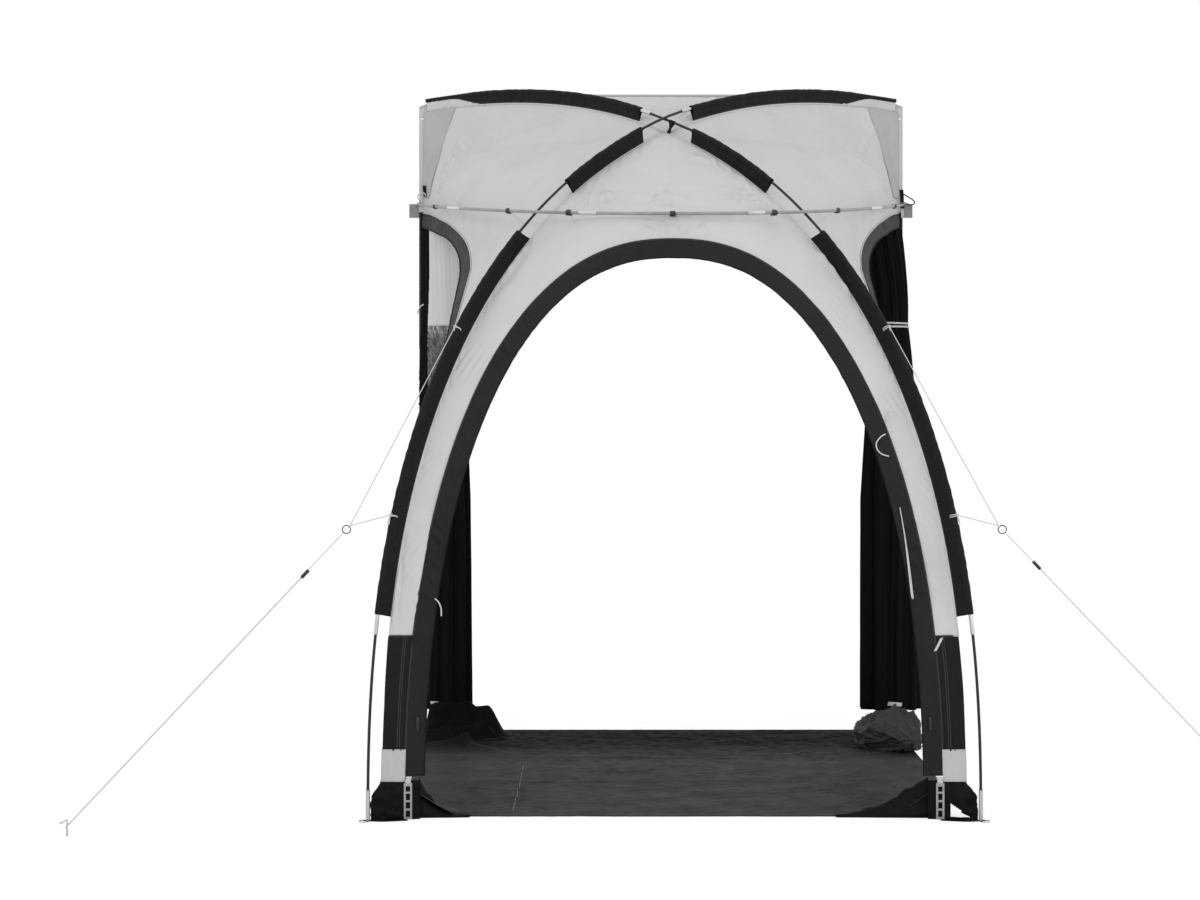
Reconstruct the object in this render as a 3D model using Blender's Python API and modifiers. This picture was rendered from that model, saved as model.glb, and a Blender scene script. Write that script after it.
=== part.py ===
# Porch awning for a touring caravan: two crossing bent poles carry a cloth canopy that hangs from the
# caravan's awning rail. The wall is a plane at +Y, the door opening faces -Y, and +Z is up.
# Lengths are metres. Names that end in share are ratios.

import bpy
import bmesh
import math
import numpy as np
from mathutils import Matrix, Vector
from mathutils.bvhtree import BVHTree

# Overall form
REACH = 1.70                    # wall to front feet
HALF_WIDTH = 0.975              # middle to each foot, and to each rail corner
RAIL_OVERHANG = 0.015           # hem and brow pole beyond each rail corner
POLE_HEIGHT = 2.575             # pole axis above the ground at the rail
POLE_ROUND_SHARE = 2.45         # superellipse exponent of the bent pole
GAP = 0.0003                    # clearance between pieces that touch
OVERRUN = 0.01                  # how far a cutter passes what it cuts

# Bent poles
POLE_DIAMETER = 0.0096
FOOT_SECTION = 0.640            # first section, from the ground to the end of its rod
CROWN_JOINT_RUN = 0.125         # crossing to the last joint, along the pole; the solid beyond is the rest
POLE_SECTIONS = 6
POLE_STEP = 0.075               # straight runs of the bent pole
POLE_STATIONS = 721
SLOPE_SHARE = 0.001             # share of the run over which a slope is read
POLE_WALL_SETBACK = 0.030       # pole tip to the corner, along the pole's run
FERRULE_DIAMETER = 0.0130
FERRULE_LENGTH = 0.075
FERRULE_ENTRY = 0.030           # how deep the next section sits
FOOT_CAP_LENGTH = 0.098
CROSSING_SPREAD = 0.16          # run over which the poles part at the crossing
CROSSING_GAP = 0.0012

# Pole sleeves
FIN_DEPTH = 0.053               # pole axis to the sewn seam at the foot
FIN_RAIL_DEPTH = 0.041          # the same at the rail
SLEEVE_WALL = 0.0026
SLEEVE_EASE = 0.0029            # pole surface to sleeve, wide enough for a ferrule
FIN_THICKNESS = 0.0026
SLEEVE_STEP = 0.062             # longest straight run of a sleeve
SLEEVE_TURNS_DEGREES = (-52, 0, 45, 90, 135, 180, 232)      # section of the sleeve round the pole
SLEEVE_NAMES = ("lower", "mid", "upper")
LOWER_SLEEVE_FOOT = 0.657       # height of its lower end
LOWER_SLEEVE_TOP_SHARE = 0.236  # shares of the pole's run
MID_SLEEVE_SHARES = (0.318, 0.452)
UPPER_SLEEVE_START_SHARE = 0.547
UPPER_SLEEVE_SETBACK = 0.021    # sleeve end to the corner, along the run

# Cloth
CLOTH = 0.002                   # thickness of a panel
PANEL_ROWS = 4                  # from an opening to the seam
ROOF_ROWS = 8
ROOF_COLUMNS = 6
SEAM_SETBACK = 0.0017           # panel edge to the seam line
SEAM_LIFT = 0.0019              # seam line to the fin's edge
FRONT_FULL_SHARE = 2.6          # how squarely the front bows between its seams
FRONT_LEAN_SHARE = 4.0          # how late the front leans back below the brow
BROW_SLACK = 0.026              # cloth to brow pole axis at the middle
SIDE_BULGE_REACH = 0.26         # how far above and below the brow pole it pulls the sides out
SIDE_BULGE_FRONT_SHARE = 3      # how fast the pull grows behind the seam
SIDE_BULGE_REAR_SHARE = 8       # how late it fades at the wall
CROWN_OPENING = 0.012           # length of the gap left where four seams meet

# Door opening in the front
DOOR_INSET = 0.115              # foot to the trim's outer edge
DOOR_DROP = 0.709               # pole's height to the top of the trim
DOOR_ROUND_SHARE = 2.3
DOOR_TRIM = 0.068
DOOR_TRIM_FOOT = 0.140

# Side openings, as shares of reach and of rail height from wall to front
SIDE_TRIM = 0.055
SIDE_ARCH_SHARES = (
    (0.003, 0.8195), (0.147, 0.801), (0.260, 0.783), (0.350, 0.750), (0.412, 0.699), (0.478, 0.650),
    (0.560, 0.590), (0.660, 0.497), (0.765, 0.381), (0.860, 0.240), (0.905, 0.120), (0.925, 0.050),
)
SIDE_TRIM_FOOT = 0.130
ARCH_POINTS = 161
SEAM_POINTS = 121
DOOR_COLUMNS = 57
SIDE_COLUMNS = 31
CURVE_STEPS = 24                # between two places of a smooth line

# Leg panels
BAND_TOP = 0.583
PATCH_TOP = 0.224
FLAP_TOP = 0.125
FLAP_WIDTH = 0.163              # pole foot to the flap's inner edge
FLAP_CORNER_INSET = 0.016       # flap corner to the pole foot, each way
HEM_CLEARANCE = 0.0008          # flap hem above the ground

# Hem along the rail and down the wall
HEM_DROP = 0.029                # pole's height to the hem's top
HEM_DEPTH = 0.046
HEM_SIDE_WIDTH = 0.026
HEM_FOOT = 0.090
HEM_THICKNESS = 0.004
KEDER_DIAMETER = 0.0075
KEDER_RISE_SHARE = 0.33         # how much of the bead stands above the hem

# Brow pole
BROW_DIAMETER = 0.0110
BROW_DROP = 0.425               # pole's height to the brow pole's ends
BROW_ROUND_SHARE = 2.3
BROW_CROSS_SHARE = 0.262        # where it passes over each bent pole, as a share of the run
BROW_WALL_GAP = 0.016
BROW_POINTS = 33
BROW_SLEEVE_DIAMETER = 0.0136
BROW_SLEEVE_LENGTH = 0.060
BROW_SLEEVE_SHARES = (0.280, 0.800)

# Clips that hold the brow pole to the cloth
CLIP_SHARES = (-0.900, -0.565, -0.345, 0.0, 0.345, 0.600, 0.925)
CLIP_WIDTH = 0.014
CLIP_WALL = 0.0036
CLIP_EASE = 0.0008              # pole surface to clip
CLIP_STRAP = 0.0034
CLIP_MOUTH = 0.006
CLIP_STRAP_SHARE = 0.8          # strap to clip width
CLIP_RAYS = 9                   # places across a strap where its distance to the cloth is taken

# Wall plates with the hooks of the brow pole
PLATE_WIDTH = 0.040
PLATE_HEIGHT = 0.056
PLATE_THICKNESS = 0.004
PLATE_DROP = 0.023              # plate's middle below the pole end
HOOK_WIRE = 0.004
HOOK_RADIUS = 0.0105
HOOK_REACH = 0.0126             # how far the wire stands off the plate
HOOK_ROOT_SHARE = 0.3           # wire's root on the plate
HOOK_TIP_SHARE = 0.6            # wire's tip before the pole end, as a share of its radius

# Crown tie
CROWN_TIE_WIDTH = 0.030
CROWN_TIE_WAIST = 0.012
CROWN_TIE_THICKNESS = 0.003
CROWN_TIE_RUN = 0.030           # beyond the crossing, along the right foot's pole
CROWN_WRAP_WALL = 0.0030

# Gathered side panels
DRAPE_FOOT = 0.100
DRAPE_WIDTH = 0.200
DRAPE_DEPTH = 0.110
DRAPE_INSET = 0.110             # hem's end to the drape's middle
DRAPE_FOLDS = 9
DRAPE_FOLD_SHARE = 0.24         # depth of a fold as a share of the radius
DRAPE_TIE_FOLD_SHARE = 0.25     # how much of that is left under the tie
DRAPE_SWING_SHARES = (0.35, 2.2)    # how far and how fast the folds wander
DRAPE_FLARE_SHARES = (2.2, 0.8)     # how soon it widens below the tie
DRAPE_TOP_INSET = 0.065         # the same at its upper end
DRAPE_TIE_DROP = 0.895          # pole's height to the tie
DRAPE_TIE_WIDTH = 0.025
DRAPE_TIE_WAIST_SHARE = 0.50
DRAPE_TIE_PROUD = 0.004
DRAPE_TOP_SHARE = 0.62
DRAPE_POINTS = 36
DRAPE_ROWS = 13

# Groundsheet
SHEET_INSET = 0.015             # foot's line to its side edge at the wall
SHEET_FRONT_INSET = 0.080       # the same at the front
SHEET_TAPER_SHARE = 6           # how late it narrows towards the front
SHEET_SETBACK = 0.070           # front edge behind the feet
SHEET_REAR = 0.012
SHEET_THICKNESS = 0.002
SHEET_CORNER_LIFT = 0.105
SHEET_CORNER_REACH = 0.230
SHEET_COLUMNS = 20
SHEET_ROWS = 16

# Rolled door panel
BUNDLE_LENGTH = 0.340
BUNDLE_WIDTH = 0.220
BUNDLE_HEIGHT = 0.150
BUNDLE_INSET = 0.120            # foot's line to its middle
BUNDLE_WALL = 0.430             # wall to its middle
BUNDLE_TURN_DEGREES = 24
BUNDLE_SINK_SHARE = 0.36        # middle above the sheet, as a share of its height
BUNDLE_END_SHARE = 0.55         # section at its ends
BUNDLE_LUMP_SHARES = (0.10, 5, 2, 4, 0.07, 9, 3)    # depths and rates of the folds along and across it

# Foot rings and pins
PIN_DIAMETER = 0.0050
PIN_LENGTH = 0.045
PIN_EASE = 0.0005
FOOT_RING_RADIUS = 0.014
FOOT_RING_WIRE = 0.004

# Pegging ladders
LADDER_INSET = 0.125            # pole foot to its middle
LADDER_WIDTH = 0.026
LADDER_RAIL = 0.006
LADDER_THICKNESS = 0.005
LADDER_TOP = 0.118
LADDER_FOOT = 0.004
LADDER_RUNGS = 4
LADDER_GAP = 0.0006             # flap to ladder
LADDER_PEG_DIAMETER = 0.006
LADDER_PEG_PROUD = 0.012

# Zip sliders of the door
SLIDER_WIDTH = 0.010
SLIDER_LENGTH = 0.016
SLIDER_THICKNESS = 0.005
SLIDER_HEIGHT = 0.320
SLIDER_PULL_LENGTH = 0.034
SLIDER_PULL_WIDTH = 0.007
SLIDER_PULL_THICKNESS = 0.0016

# Guy lines. The routes are points of the left one, from the sleeve outwards; the right one mirrors it.
CORD_DIAMETER = 0.003
GUY_UPPER_HEIGHT = 1.580
GUY_LOWER_HEIGHT = 0.970
GUY_RING = (1.043, 1.700, 0.930)    # from middle, from wall, above ground
GUY_PEG = (1.880, 1.890, 0.026)
GUY_STRAND = 0.016                  # between the two strands
GUY_RING_RADIUS = 0.0130
GUY_RING_WIRE = 0.0034
TENSIONER_DISTANCES = (0.190, 0.155)    # ring to tensioner, left and right
TENSIONER_LENGTH = 0.032
TENSIONER_WIDTH = 0.030
TENSIONER_THICKNESS = 0.009
TENSIONER_BORE = 0.0044
PEG_DIAMETER = 0.007
PEG_HEIGHT = 0.050
PEG_HOOK = 0.022
PEG_SEAT = 0.0009                   # peg towards the bend of the line
GUY_POINTS = 30
BRIDLE_UPPER_POINTS = 16
BRIDLE_LOWER_POINTS = 8
RING_TURNS_DEGREES = (150, 90, 30, -30, -90, -150)      # how the bridle bends round the ring
PEG_TURNS_DEGREES = (0, 30, 60, 90, 120, 150, 180)      # how the line bends round the peg

RUN = math.hypot(2 * HALF_WIDTH, REACH)
RAIL_Y = REACH / 2
RAIL_HALF = HALF_WIDTH + RAIL_OVERHANG
HEM_TOP = POLE_HEIGHT - HEM_DROP
BROW_WALL_HEIGHT = POLE_HEIGHT - BROW_DROP
DRAPE_TIE_HEIGHT = POLE_HEIGHT - DRAPE_TIE_DROP
DOOR_HALF = HALF_WIDTH - DOOR_INSET
DOOR_HEIGHT = POLE_HEIGHT - DOOR_DROP
FLAP_INNER = HALF_WIDTH - FLAP_WIDTH
LADDER_X = HALF_WIDTH - LADDER_INSET
SHEET_HALF = HALF_WIDTH - SHEET_INSET
SHEET_FRONT_HALF = HALF_WIDTH - SHEET_FRONT_INSET
SHEET_FRONT = REACH - SHEET_SETBACK
CLOTH_REAR = HEM_THICKNESS + CLOTH / 2 + GAP    # wall to the panels' rear edges
WIDE_GAP = 3 * GAP
LEFT = -1
RIGHT = 1
SIDE_NAMES = {LEFT: "left", RIGHT: "right"}


def clear_scene():
    for item in list(bpy.data.objects):
        bpy.data.objects.remove(item, do_unlink=True)


def new_collection(name):
    found = bpy.data.collections.new(name)
    bpy.context.scene.collection.children.link(found)
    return found


def new_material(name, colour, roughness, metallic=0.0):
    made = bpy.data.materials.new(name)
    made.use_nodes = True
    shader = made.node_tree.nodes["Principled BSDF"]
    shader.inputs["Base Color"].default_value = (*colour, 1.0)
    shader.inputs["Roughness"].default_value = roughness
    shader.inputs["Metallic"].default_value = metallic
    return made


clear_scene()
AWNING = new_collection("porch_awning")
CUTTERS = new_collection("cutters")
CUTTERS.hide_render = True

GREY_CLOTH = new_material("grey_cloth", (0.60, 0.60, 0.59), 0.75)
DARK_CLOTH = new_material("dark_cloth", (0.027, 0.027, 0.027), 0.70)
BLACK_CLOTH = new_material("black_cloth", (0.006, 0.006, 0.006), 0.75)
SHEET_CLOTH = new_material("sheet_cloth", (0.031, 0.031, 0.032), 0.60)
BLACK_ROD = new_material("black_rod", (0.008, 0.008, 0.008), 0.35)
GREY_ROD = new_material("grey_rod", (0.36, 0.35, 0.33), 0.40, 0.3)
STEEL = new_material("steel", (0.62, 0.62, 0.62), 0.30, 1.0)
BLACK_PLASTIC = new_material("black_plastic", (0.012, 0.012, 0.012), 0.45)
GREY_PLASTIC = new_material("grey_plastic", (0.25, 0.25, 0.25), 0.50)
PALE_RUBBER = new_material("pale_rubber", (0.55, 0.55, 0.53), 0.60)
WHITE_CORD = new_material("white_cord", (0.72, 0.72, 0.70), 0.80)


def own(item, name, material, collection=AWNING):
    """Names an object, gives it its own copy of a material and files it."""
    item.name = name
    item.data.name = name
    item.data.materials.clear()
    if material:
        item.data.materials.append(material.copy())
    for holder in list(item.users_collection):
        holder.objects.unlink(item)
    collection.objects.link(item)
    return item


def smooth(item, degrees=40):
    item.data.shade_smooth()
    item.data.set_sharp_from_angle(angle=math.radians(degrees))
    return item


def mesh_object(name, mesh, material, collection=AWNING):
    item = bpy.data.objects.new(name, mesh)
    bpy.context.scene.collection.objects.link(item)
    return own(item, name, material, collection)


def as_mesh(item):
    """Turns a curve object into a closed mesh object of the same name and place."""
    graph = bpy.context.evaluated_depsgraph_get()
    mesh = bpy.data.meshes.new_from_object(item.evaluated_get(graph))
    shape = bmesh.new()
    shape.from_mesh(mesh)
    bmesh.ops.remove_doubles(shape, verts=shape.verts, dist=1e-6)
    bmesh.ops.recalc_face_normals(shape, faces=shape.faces)
    shape.to_mesh(mesh)
    shape.free()
    made = bpy.data.objects.new(item.name, mesh)
    made.matrix_world = item.matrix_world
    for holder in item.users_collection:
        holder.objects.link(made)
    name = item.name
    bpy.data.objects.remove(item, do_unlink=True)
    made.name = name
    mesh.name = name
    return made


def tube(name, points, diameter, material, collection=AWNING, resolution=2, shares=None):
    """A round bar along the points. The shares scale its radius point by point."""
    data = bpy.data.curves.new(name, "CURVE")
    data.dimensions = "3D"
    data.bevel_depth = diameter / 2
    data.bevel_resolution = resolution
    data.use_fill_caps = True
    line = data.splines.new("POLY")
    line.points.add(len(points) - 1)
    for number, point in enumerate(points):
        line.points[number].co = (*point, 1.0)
        line.points[number].radius = shares[number] if shares else 1.0
    item = bpy.data.objects.new(name, data)
    bpy.context.scene.collection.objects.link(item)
    own(item, name, material, collection)
    return item


def outline(name, points, thickness, material, collection=AWNING):
    """A flat piece with this outline in its local XY plane."""
    data = bpy.data.curves.new(name, "CURVE")
    data.dimensions = "2D"
    data.fill_mode = "BOTH"
    data.extrude = thickness / 2
    line = data.splines.new("POLY")
    line.points.add(len(points) - 1)
    for number, point in enumerate(points):
        line.points[number].co = (point[0], point[1], 0.0, 1.0)
    line.use_cyclic_u = True
    item = bpy.data.objects.new(name, data)
    bpy.context.scene.collection.objects.link(item)
    return own(item, name, material, collection)


def box(name, size, place, material, collection=AWNING, turn=None):
    shape = bmesh.new()
    bmesh.ops.create_cube(shape, size=1.0)
    bmesh.ops.scale(shape, vec=size, verts=shape.verts)
    mesh = bpy.data.meshes.new(name)
    shape.to_mesh(mesh)
    shape.free()
    item = mesh_object(name, mesh, material, collection)
    item.matrix_world = Matrix.Translation(place) @ (turn.to_4x4() if turn else Matrix())
    return item


def cylinder(name, diameter, length, place, axis, material, collection=AWNING, sides=12):
    shape = bmesh.new()
    bmesh.ops.create_cone(
        shape, cap_ends=True, segments=sides, radius1=diameter / 2, radius2=diameter / 2, depth=length
    )
    mesh = bpy.data.meshes.new(name)
    shape.to_mesh(mesh)
    shape.free()
    item = mesh_object(name, mesh, material, collection)
    turn = Vector(axis).to_track_quat("Z", "Y")
    item.matrix_world = Matrix.Translation(place) @ turn.to_matrix().to_4x4()
    return item


def ring(name, radius, wire, place, axis, material, collection=AWNING, segments=16, sides=8):
    bpy.ops.mesh.primitive_torus_add(
        major_radius=radius, minor_radius=wire / 2, major_segments=segments, minor_segments=sides
    )
    item = own(bpy.context.object, name, material, collection)
    turn = Vector(axis).to_track_quat("Z", "Y")
    item.matrix_world = Matrix.Translation(place) @ turn.to_matrix().to_4x4()
    return item


def combine(item, other, operation):
    """Cuts a helper from an object, or joins it to the object."""
    step = item.modifiers.new(other.name, "BOOLEAN")
    step.operation = operation
    step.solver = "EXACT"
    step.object = other
    for holder in list(other.users_collection):
        holder.objects.unlink(other)
    CUTTERS.objects.link(other)
    other.hide_render = True
    other.display_type = "WIRE"
    return item


def panel(name, surface, across, along, material, thickness=CLOTH):
    """A sheet of even thickness whose middle follows surface(u, v), with u and v from 0 to 1."""
    shape = bmesh.new()
    bmesh.ops.create_grid(shape, x_segments=across, y_segments=along, size=0.5)
    for point in shape.verts:
        point.co = surface(point.co.x + 0.5, point.co.y + 0.5)
    mesh = bpy.data.meshes.new(name)
    shape.to_mesh(mesh)
    shape.free()
    item = mesh_object(name, mesh, material)
    skin = item.modifiers.new("cloth", "SOLIDIFY")
    skin.thickness = thickness
    skin.offset = 0.0
    skin.use_even_offset = True
    item.data.shade_smooth()
    return item


def arch_table(foot_inset, rail_inset):
    """Run along the diagonal, height and length of the bent pole's line, moved inwards by the insets."""
    turn = np.linspace(0.0, math.pi / 2, POLE_STATIONS)
    power = 2.0 / POLE_ROUND_SHARE
    run = RUN * (1.0 - np.cos(turn) ** power)
    rise = POLE_HEIGHT * np.sin(turn) ** power
    run[-1] = RUN
    along_run = np.gradient(run)
    along_rise = np.gradient(rise)
    size = np.hypot(along_run, along_rise)
    length = np.concatenate([[0.0], np.cumsum(np.hypot(np.diff(run), np.diff(rise)))])
    inset = foot_inset + (rail_inset - foot_inset) * length / length[-1]
    return (
        run + inset * along_rise / size,
        rise - inset * along_run / size,
        length,
    )


POLE_LINE = arch_table(0.0, 0.0)
SEAM_LINE = arch_table(FIN_DEPTH + SEAM_LIFT, FIN_RAIL_DEPTH + SEAM_LIFT)
POLE_LENGTH = float(np.interp(RUN - POLE_WALL_SETBACK, POLE_LINE[0], POLE_LINE[2]))


def fin_depth(length):
    """Distance from the pole's axis to the sewn seam, by the length from the foot."""
    return FIN_DEPTH + (FIN_RAIL_DEPTH - FIN_DEPTH) * length / float(POLE_LINE[2][-1])


def spot(run, rise, foot):
    """The place above a point of the diagonal that starts at this foot, -1 left or 1 right."""
    return Vector((
        foot * HALF_WIDTH * (1 - 2 * run / RUN),
        RAIL_Y - REACH * (1 - run / RUN),
        rise,
    ))


def pole_spot(length, foot, inset=0.0, parted=True):
    """A point of a bent pole by its length from the foot. The left foot's pole passes over the other."""
    run = float(np.interp(length, POLE_LINE[2], POLE_LINE[0]))
    rise = float(np.interp(length, POLE_LINE[2], POLE_LINE[1]))
    ahead = min(length + SLOPE_SHARE * RUN, float(POLE_LINE[2][-1]))
    behind = max(length - SLOPE_SHARE * RUN, 0.0)
    slope = [
        float(np.interp(ahead, POLE_LINE[2], POLE_LINE[part]) - np.interp(behind, POLE_LINE[2], POLE_LINE[part]))
        for part in (0, 1)
    ]
    size = math.hypot(*slope)
    part_way = (run - RUN / 2) / CROSSING_SPREAD
    lift = (POLE_DIAMETER + CROSSING_GAP) / 2 * math.exp(-part_way * part_way) * foot
    inset = inset + (lift if parted else 0.0)
    return spot(run + inset * slope[1] / size, rise - inset * slope[0] / size, foot)


def length_at_run(share):
    return float(np.interp(share * RUN, POLE_LINE[0], POLE_LINE[2]))


def length_at_height(height):
    return float(np.interp(height, POLE_LINE[1], POLE_LINE[2]))


POLE_SECTION = (length_at_run(0.5) + CROWN_JOINT_RUN - FOOT_SECTION) / (POLE_SECTIONS - 2)


def seam_edge(height):
    """Distance from the middle and from the wall of the sewn seam at a height, both positive."""
    run = float(np.interp(height, SEAM_LINE[1], SEAM_LINE[0]))
    return abs(HALF_WIDTH * (1 - 2 * run / RUN)), REACH * (1 - run / RUN)


CROSS_HEIGHT = float(np.interp(RUN / 2, SEAM_LINE[0], SEAM_LINE[1]))


def build_pole(foot):
    """The sections of one bent pole, each with a metal ferrule at its upper end."""
    side = SIDE_NAMES[foot]
    ferrule_share = FERRULE_DIAMETER / POLE_DIAMETER
    joints = [FOOT_SECTION + POLE_SECTION * number for number in range(POLE_SECTIONS - 1)] + [POLE_LENGTH]
    start = FOOT_RING_WIRE + GAP
    for number, end in enumerate(joints):
        last = number == POLE_SECTIONS - 1
        lower = end if last else end - (FERRULE_LENGTH - FERRULE_ENTRY)
        steps = math.ceil((lower - start) / POLE_STEP)
        stations = [(start + (lower - start) * step / steps, 1.0) for step in range(steps + 1)]
        if number == 0:
            step = FERRULE_DIAMETER - POLE_DIAMETER
            cap_end = start + FOOT_CAP_LENGTH
            stations = [
                (start, ferrule_share), (start + FOOT_CAP_LENGTH / 2, ferrule_share), (cap_end, ferrule_share),
            ] + [(cap_end + step, 1.0)] + [place for place in stations if place[0] > cap_end + 2 * step]
        if not last:
            step = (FERRULE_DIAMETER - POLE_DIAMETER) / 2
            stations += [(lower + step, ferrule_share), (end + FERRULE_ENTRY, ferrule_share)]
        name = f"{side}_pole_{number + 1}"
        rod = tube(
            name,
            [pole_spot(length, foot) for length, _ in stations],
            POLE_DIAMETER,
            BLACK_ROD,
            shares=[share for _, share in stations],
        )
        start = end + GAP
        rod = as_mesh(rod)
        if last:
            smooth(rod)
            continue
        socket = tube(
            f"{name}_socket",
            [pole_spot(end, foot), pole_spot(end + FERRULE_ENTRY + OVERRUN, foot)],
            POLE_DIAMETER + 4 * GAP,
            None,
            CUTTERS,
        )
        combine(rod, as_mesh(socket), "DIFFERENCE")
        if number == 0:
            bore = cylinder(
                f"{name}_pin_bore",
                PIN_DIAMETER + 2 * PIN_EASE,
                2 * (PIN_LENGTH + PIN_EASE),
                spot(0.0, 0.0, foot),
                (0, 0, 1),
                None,
                CUTTERS,
                sides=8,
            )
            combine(rod, bore, "DIFFERENCE")
        smooth(rod)


def build_sleeves(foot):
    side = SIDE_NAMES[foot]
    spans = (
        (length_at_height(LOWER_SLEEVE_FOOT), length_at_run(LOWER_SLEEVE_TOP_SHARE)),
        tuple(length_at_run(share) for share in MID_SLEEVE_SHARES),
        (
            length_at_run(UPPER_SLEEVE_START_SHARE),
            float(np.interp(RUN - UPPER_SLEEVE_SETBACK, POLE_LINE[0], POLE_LINE[2])),
        ),
    )
    for name, (start, end) in zip(SLEEVE_NAMES, spans):
        name = f"{side}_{name}_sleeve"
        steps = max(3, math.ceil((end - start) / SLEEVE_STEP))
        places = [start + (end - start) * step / steps for step in range(steps + 1)]
        cloth = sweep_sleeve(name, places, foot)
        bore_places = [start - OVERRUN] + places + [min(end + OVERRUN, float(POLE_LINE[2][-1]))]
        bore = tube(
            f"{name}_bore",
            [pole_spot(length, foot) for length in bore_places],
            POLE_DIAMETER + 2 * SLEEVE_EASE,
            None,
            CUTTERS,
        )
        combine(cloth, as_mesh(bore), "DIFFERENCE")


def sweep_sleeve(name, places, foot):
    """The solid sleeve: its section carried along the pole, flat in the pole's upright plane."""
    radius = POLE_DIAMETER / 2 + SLEEVE_EASE + SLEEVE_WALL
    turns = [math.radians(degrees) for degrees in SLEEVE_TURNS_DEGREES]
    section = [(radius * math.cos(turn), -radius * math.sin(turn)) for turn in turns]
    across = Vector((REACH, foot * 2 * HALF_WIDTH, 0)).normalized()
    shape = bmesh.new()
    rings = []
    for length in places:
        middle = pole_spot(length, foot)
        seam = pole_spot(length, foot, fin_depth(length), parted=False)
        inwards = (seam - middle).normalized()
        rings.append(
            [shape.verts.new(middle + across * x + inwards * y) for x, y in section]
            + [shape.verts.new(seam + across * x) for x in (-FIN_THICKNESS / 2, FIN_THICKNESS / 2)]
        )
    bmesh.ops.contextual_create(shape, geom=rings[0])
    for first, second in zip(rings, rings[1:]):
        for number in range(len(first)):
            following = (number + 1) % len(first)
            shape.faces.new((first[number], first[following], second[following], second[number]))
    bmesh.ops.contextual_create(shape, geom=rings[-1])
    bmesh.ops.recalc_face_normals(shape, faces=shape.faces)
    mesh = bpy.data.meshes.new(name)
    shape.to_mesh(mesh)
    shape.free()
    return smooth(mesh_object(name, mesh, DARK_CLOTH))


def smooth_line(points, count):
    """Evenly spaced places on a smooth curve through the points, end to end."""
    points = np.array(points, float)
    ends = np.vstack([2 * points[0] - points[1], points, 2 * points[-1] - points[-2]])
    fine = []
    for a, b, c, d in zip(ends, ends[1:], ends[2:], ends[3:]):
        for part in np.linspace(0.0, 1.0, CURVE_STEPS, endpoint=False):
            fine.append(0.5 * (2 * b + (c - a) * part + (2 * a - 5 * b + 4 * c - d) * part ** 2
                               + (3 * b - a - 3 * c + d) * part ** 3))
    fine.append(points[-1])
    return even(np.array(fine), count)


def even(line, count):
    """The same line with evenly spaced points."""
    line = np.asarray(line, float)
    length = np.concatenate([[0.0], np.cumsum(np.linalg.norm(np.diff(line, axis=0), axis=1))])
    places = np.linspace(0.0, length[-1], count)
    return np.stack([np.interp(places, length, line[:, part]) for part in range(line.shape[1])], axis=1)


def beside(line, distance):
    """A flat line moved sideways, to its right for a positive distance."""
    slope = np.gradient(line, axis=0)
    slope /= np.linalg.norm(slope, axis=1)[:, None]
    return line + distance * np.stack([slope[:, 1], -slope[:, 0]], axis=1)


def at(line, share):
    place = share * (len(line) - 1)
    return [float(np.interp(place, np.arange(len(line)), line[:, part])) for part in range(line.shape[1])]


def centre_depth(height):
    """Distance from the wall of the front's middle line at a height."""
    foot = seam_edge(0.0)[1]
    brow = BROW_REACH - BROW_SLACK
    if height <= BROW_MIDDLE_HEIGHT:
        return foot + (brow - foot) * (max(height, 0.0) / BROW_MIDDLE_HEIGHT) ** FRONT_LEAN_SHARE
    part = min(1.0, (height - BROW_MIDDLE_HEIGHT) / (CROSS_HEIGHT - BROW_MIDDLE_HEIGHT))
    return brow + (REACH / 2 - brow) * part


def front_spot(x, height):
    edge_x, edge_y = seam_edge(height)
    part = min(1.0, abs(x) / max(edge_x, CLOTH))
    depth = edge_y + (centre_depth(height) - edge_y) * (1 - part ** FRONT_FULL_SHARE)
    return Vector((x, RAIL_Y - depth, height))


def side_spot(depth, height, side):
    """A point of a side panel by its distance from the wall and its height."""
    edge_x, edge_y = seam_edge(height)
    part = min(1.0, max(0.0, 1.0 - depth / max(edge_y, CLOTH)))
    off = (height - (BROW_WALL_HEIGHT - BROW_FALL_SHARE * depth)) / SIDE_BULGE_REACH
    pull = math.exp(-off * off) * (1 - (1 - part) ** SIDE_BULGE_FRONT_SHARE) * (1 - part ** SIDE_BULGE_REAR_SHARE)
    straight = edge_x + (HALF_WIDTH - edge_x) * part
    back = min(1.0, max(0.0, (depth - BROW_WALL_GAP) / (BROW_REACH - BROW_WALL_GAP)))
    pulled = RAIL_HALF * (1 - back) ** (1 / BROW_ROUND_SHARE) - BROW_SLACK
    x = straight + max(0.0, pulled - straight) * pull
    return Vector((side * x, RAIL_Y - depth, height))


def roof_spot(across, share):
    """A point of the roof panel, with share 0 at the crossing and 1 at the rail."""
    start = RUN / 2 + CROWN_OPENING
    end = RUN * (1 - CLOTH_REAR / REACH)
    run = start + (end - start) * share
    height = float(np.interp(run, SEAM_LINE[0], SEAM_LINE[1]))
    edge = abs(HALF_WIDTH * (1 - 2 * run / RUN)) - SEAM_SETBACK
    return Vector((edge * across, RAIL_Y - REACH * (1 - run / RUN), height))


BROW_CROSS_LENGTH = length_at_run(BROW_CROSS_SHARE)
BROW_LIFT = (POLE_DIAMETER + BROW_DIAMETER) / 2 + CROSSING_GAP
BROW_CROSS = pole_spot(BROW_CROSS_LENGTH, LEFT, inset=-BROW_LIFT)
BROW_REACH = (RAIL_Y - BROW_CROSS.y) / (1 - (abs(BROW_CROSS.x) / RAIL_HALF) ** BROW_ROUND_SHARE)
BROW_FALL_SHARE = (BROW_WALL_HEIGHT - BROW_CROSS.z) / (RAIL_Y - BROW_CROSS.y)
BROW_MIDDLE_HEIGHT = BROW_WALL_HEIGHT - BROW_FALL_SHARE * BROW_REACH


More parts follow.
